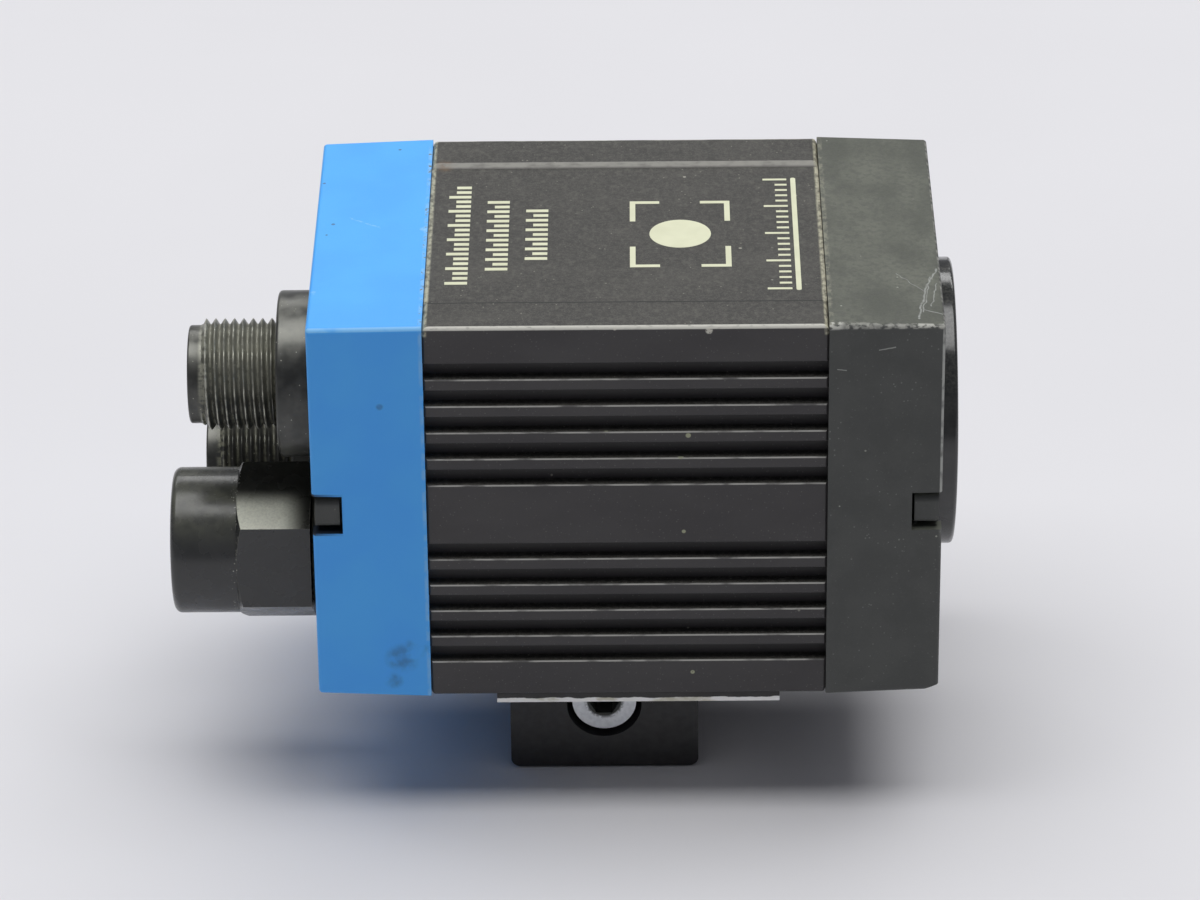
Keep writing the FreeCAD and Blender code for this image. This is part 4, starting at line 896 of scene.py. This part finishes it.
def disc_outline(x, y, radius, segments=48):
    return [(x + radius * math.cos(2 * math.pi * i / segments),
             y + radius * math.sin(2 * math.pi * i / segments)) for i in range(segments)]


def row_of_ticks(form, x, y0, y1, pitch, lengths, width):
    """Ticks across X, spaced along Y, whose lengths repeat."""
    for i in range(int((y1 - y0) / pitch) + 1):
        low = y0 + pitch * i - width / 2
        high = low + width
        end = x - lengths[i % len(lengths)]
        printed_outline(form, [(x, low), (x, high), (end, high), (end, low)])


def make_print():
    """Generic marks, in mm: rows of ticks, a viewfinder frame round a dot, and a scale."""
    form = bmesh.new()
    tick_pitch = 1.13
    tick_width = 0.62
    row_of_ticks(form, -14.0, -11.2, 11.4, tick_pitch, (2.4, 1.6, 1.6), tick_width)
    row_of_ticks(form, -9.8, -8.0, 8.8, tick_pitch, (2.4, 1.6), tick_width)
    row_of_ticks(form, -5.6, -5.6, 5.8, tick_pitch, (2.4, 1.6), tick_width)

    frame_x = 8.6
    frame_half_x = 5.4
    frame_half_y = 7.8
    for sign_x in (-1, 1):
        for sign_y in (-1, 1):
            x = frame_x + sign_x * frame_half_x
            y = sign_y * frame_half_y
            printed_outline(form, bracket_outline(x, y, sign_x, sign_y, 3.2, 4.8, 0.6))
    printed_outline(form, disc_outline(frame_x, 0.0, 3.3))

    scale_half = 12.9
    printed_outline(form, bar_outline(21.0, -scale_half - 0.4, scale_half + 0.4, 0.55))
    scale_ticks = (2.6, 1.3, 1.3, 1.3, 1.3)
    row_of_ticks(form, 20.3, -scale_half, scale_half, scale_half / 10, scale_ticks, 0.42)
    mesh_piece("panel_print", form, INK, "camera")


# ---- Stage ----
FLOOR_HALF = 4.0  # metres
ROOM_COLOUR = (0.86, 0.88, 1.0, 1.0)
ROOM_STRENGTH = 0.14
CAMERA_PLACE = Vector((4.36, -546.01, 335.69)) * MM
CAMERA_TURN = (-0.485, 29.034, 0.650)  # degrees: to the side, downwards, rolled
CAMERA_LENS = 171.09  # mm, for a sensor CAMERA_SENSOR mm wide
CAMERA_SENSOR = 36
CAMERA_CLIP = 0.01  # metres


def make_floor():
    """A plain pale floor."""
    mesh = bpy.data.meshes.new("floor")
    form = bmesh.new()
    corners = ((-1, -1), (1, -1), (1, 1), (-1, 1))
    form.faces.new([form.verts.new((x * FLOOR_HALF, y * FLOOR_HALF, 0)) for x, y in corners])
    form.to_mesh(mesh)
    form.free()
    floor = bpy.data.objects.new("floor", mesh)
    bpy.context.scene.collection.objects.link(floor)
    r = Recipe("pale_floor")
    cloud = r.noise(60.0, 3.0)
    r.colour = r.clouded(cloud, 0.3, 0.7, (0.755, 0.750, 0.770), (0.770, 0.765, 0.785))
    floor.data.materials.append(r.finish(0.6, Specular_IOR_Level=0.3))


def area_light(name, place, size_x, size_y, watts):
    """A soft rectangular lamp aimed at the object."""
    data = bpy.data.lights.new(name, "AREA")
    data.shape = "RECTANGLE"
    data.size = size_x
    data.size_y = size_y
    data.energy = watts
    lamp = bpy.data.objects.new(name, data)
    bpy.context.scene.collection.objects.link(lamp)
    lamp.location = place
    towards = Vector((0, 0, axis_z)) - Vector(place)
    lamp.rotation_euler = towards.to_track_quat("-Z", "Y").to_euler()


def make_world():
    world = bpy.data.worlds.new("soft_room")
    world.use_nodes = True
    background = world.node_tree.nodes["Background"]
    background.inputs["Color"].default_value = ROOM_COLOUR
    background.inputs["Strength"].default_value = ROOM_STRENGTH
    bpy.context.scene.world = world


def make_camera():
    """A camera with a long lens, looking down on the near side."""
    yaw, tilt, roll = (math.radians(angle) for angle in CAMERA_TURN)
    level = math.cos(tilt)
    forward = Vector((math.sin(yaw) * level, math.cos(yaw) * level, -math.sin(tilt)))
    right = Vector((math.cos(yaw), -math.sin(yaw), 0))
    down = forward.cross(right)
    rolled_right = right * math.cos(roll) + down * math.sin(roll)
    rolled_down = down * math.cos(roll) - right * math.sin(roll)
    turn = Matrix((rolled_right, -rolled_down, -forward)).transposed()
    data = bpy.data.cameras.new("camera")
    data.lens = CAMERA_LENS
    data.sensor_width = CAMERA_SENSOR
    data.clip_start = CAMERA_CLIP
    camera = bpy.data.objects.new("camera", data)
    bpy.context.scene.collection.objects.link(camera)
    camera.matrix_world = Matrix.Translation(CAMERA_PLACE) @ turn.to_4x4()
    bpy.context.scene.camera = camera


dress_nodes()
threaded_shell("signal_connector_shell", COLLAR_LENGTH)
threaded_shell("network_connector_shell", COLLAR_LENGTH)
threaded_shell("supply_connector_shell", SUPPLY_COLLAR_LENGTH)
make_print()
make_floor()
make_world()
area_light("overhead", place=(0.0, -0.02, 1.25), size_x=1.6, size_y=0.85, watts=15.6)
area_light("far_side", place=(0.0, 1.20, 0.92), size_x=1.8, size_y=0.30, watts=6.4)
make_camera()
bpy.context.scene.view_settings.view_transform = "Standard"
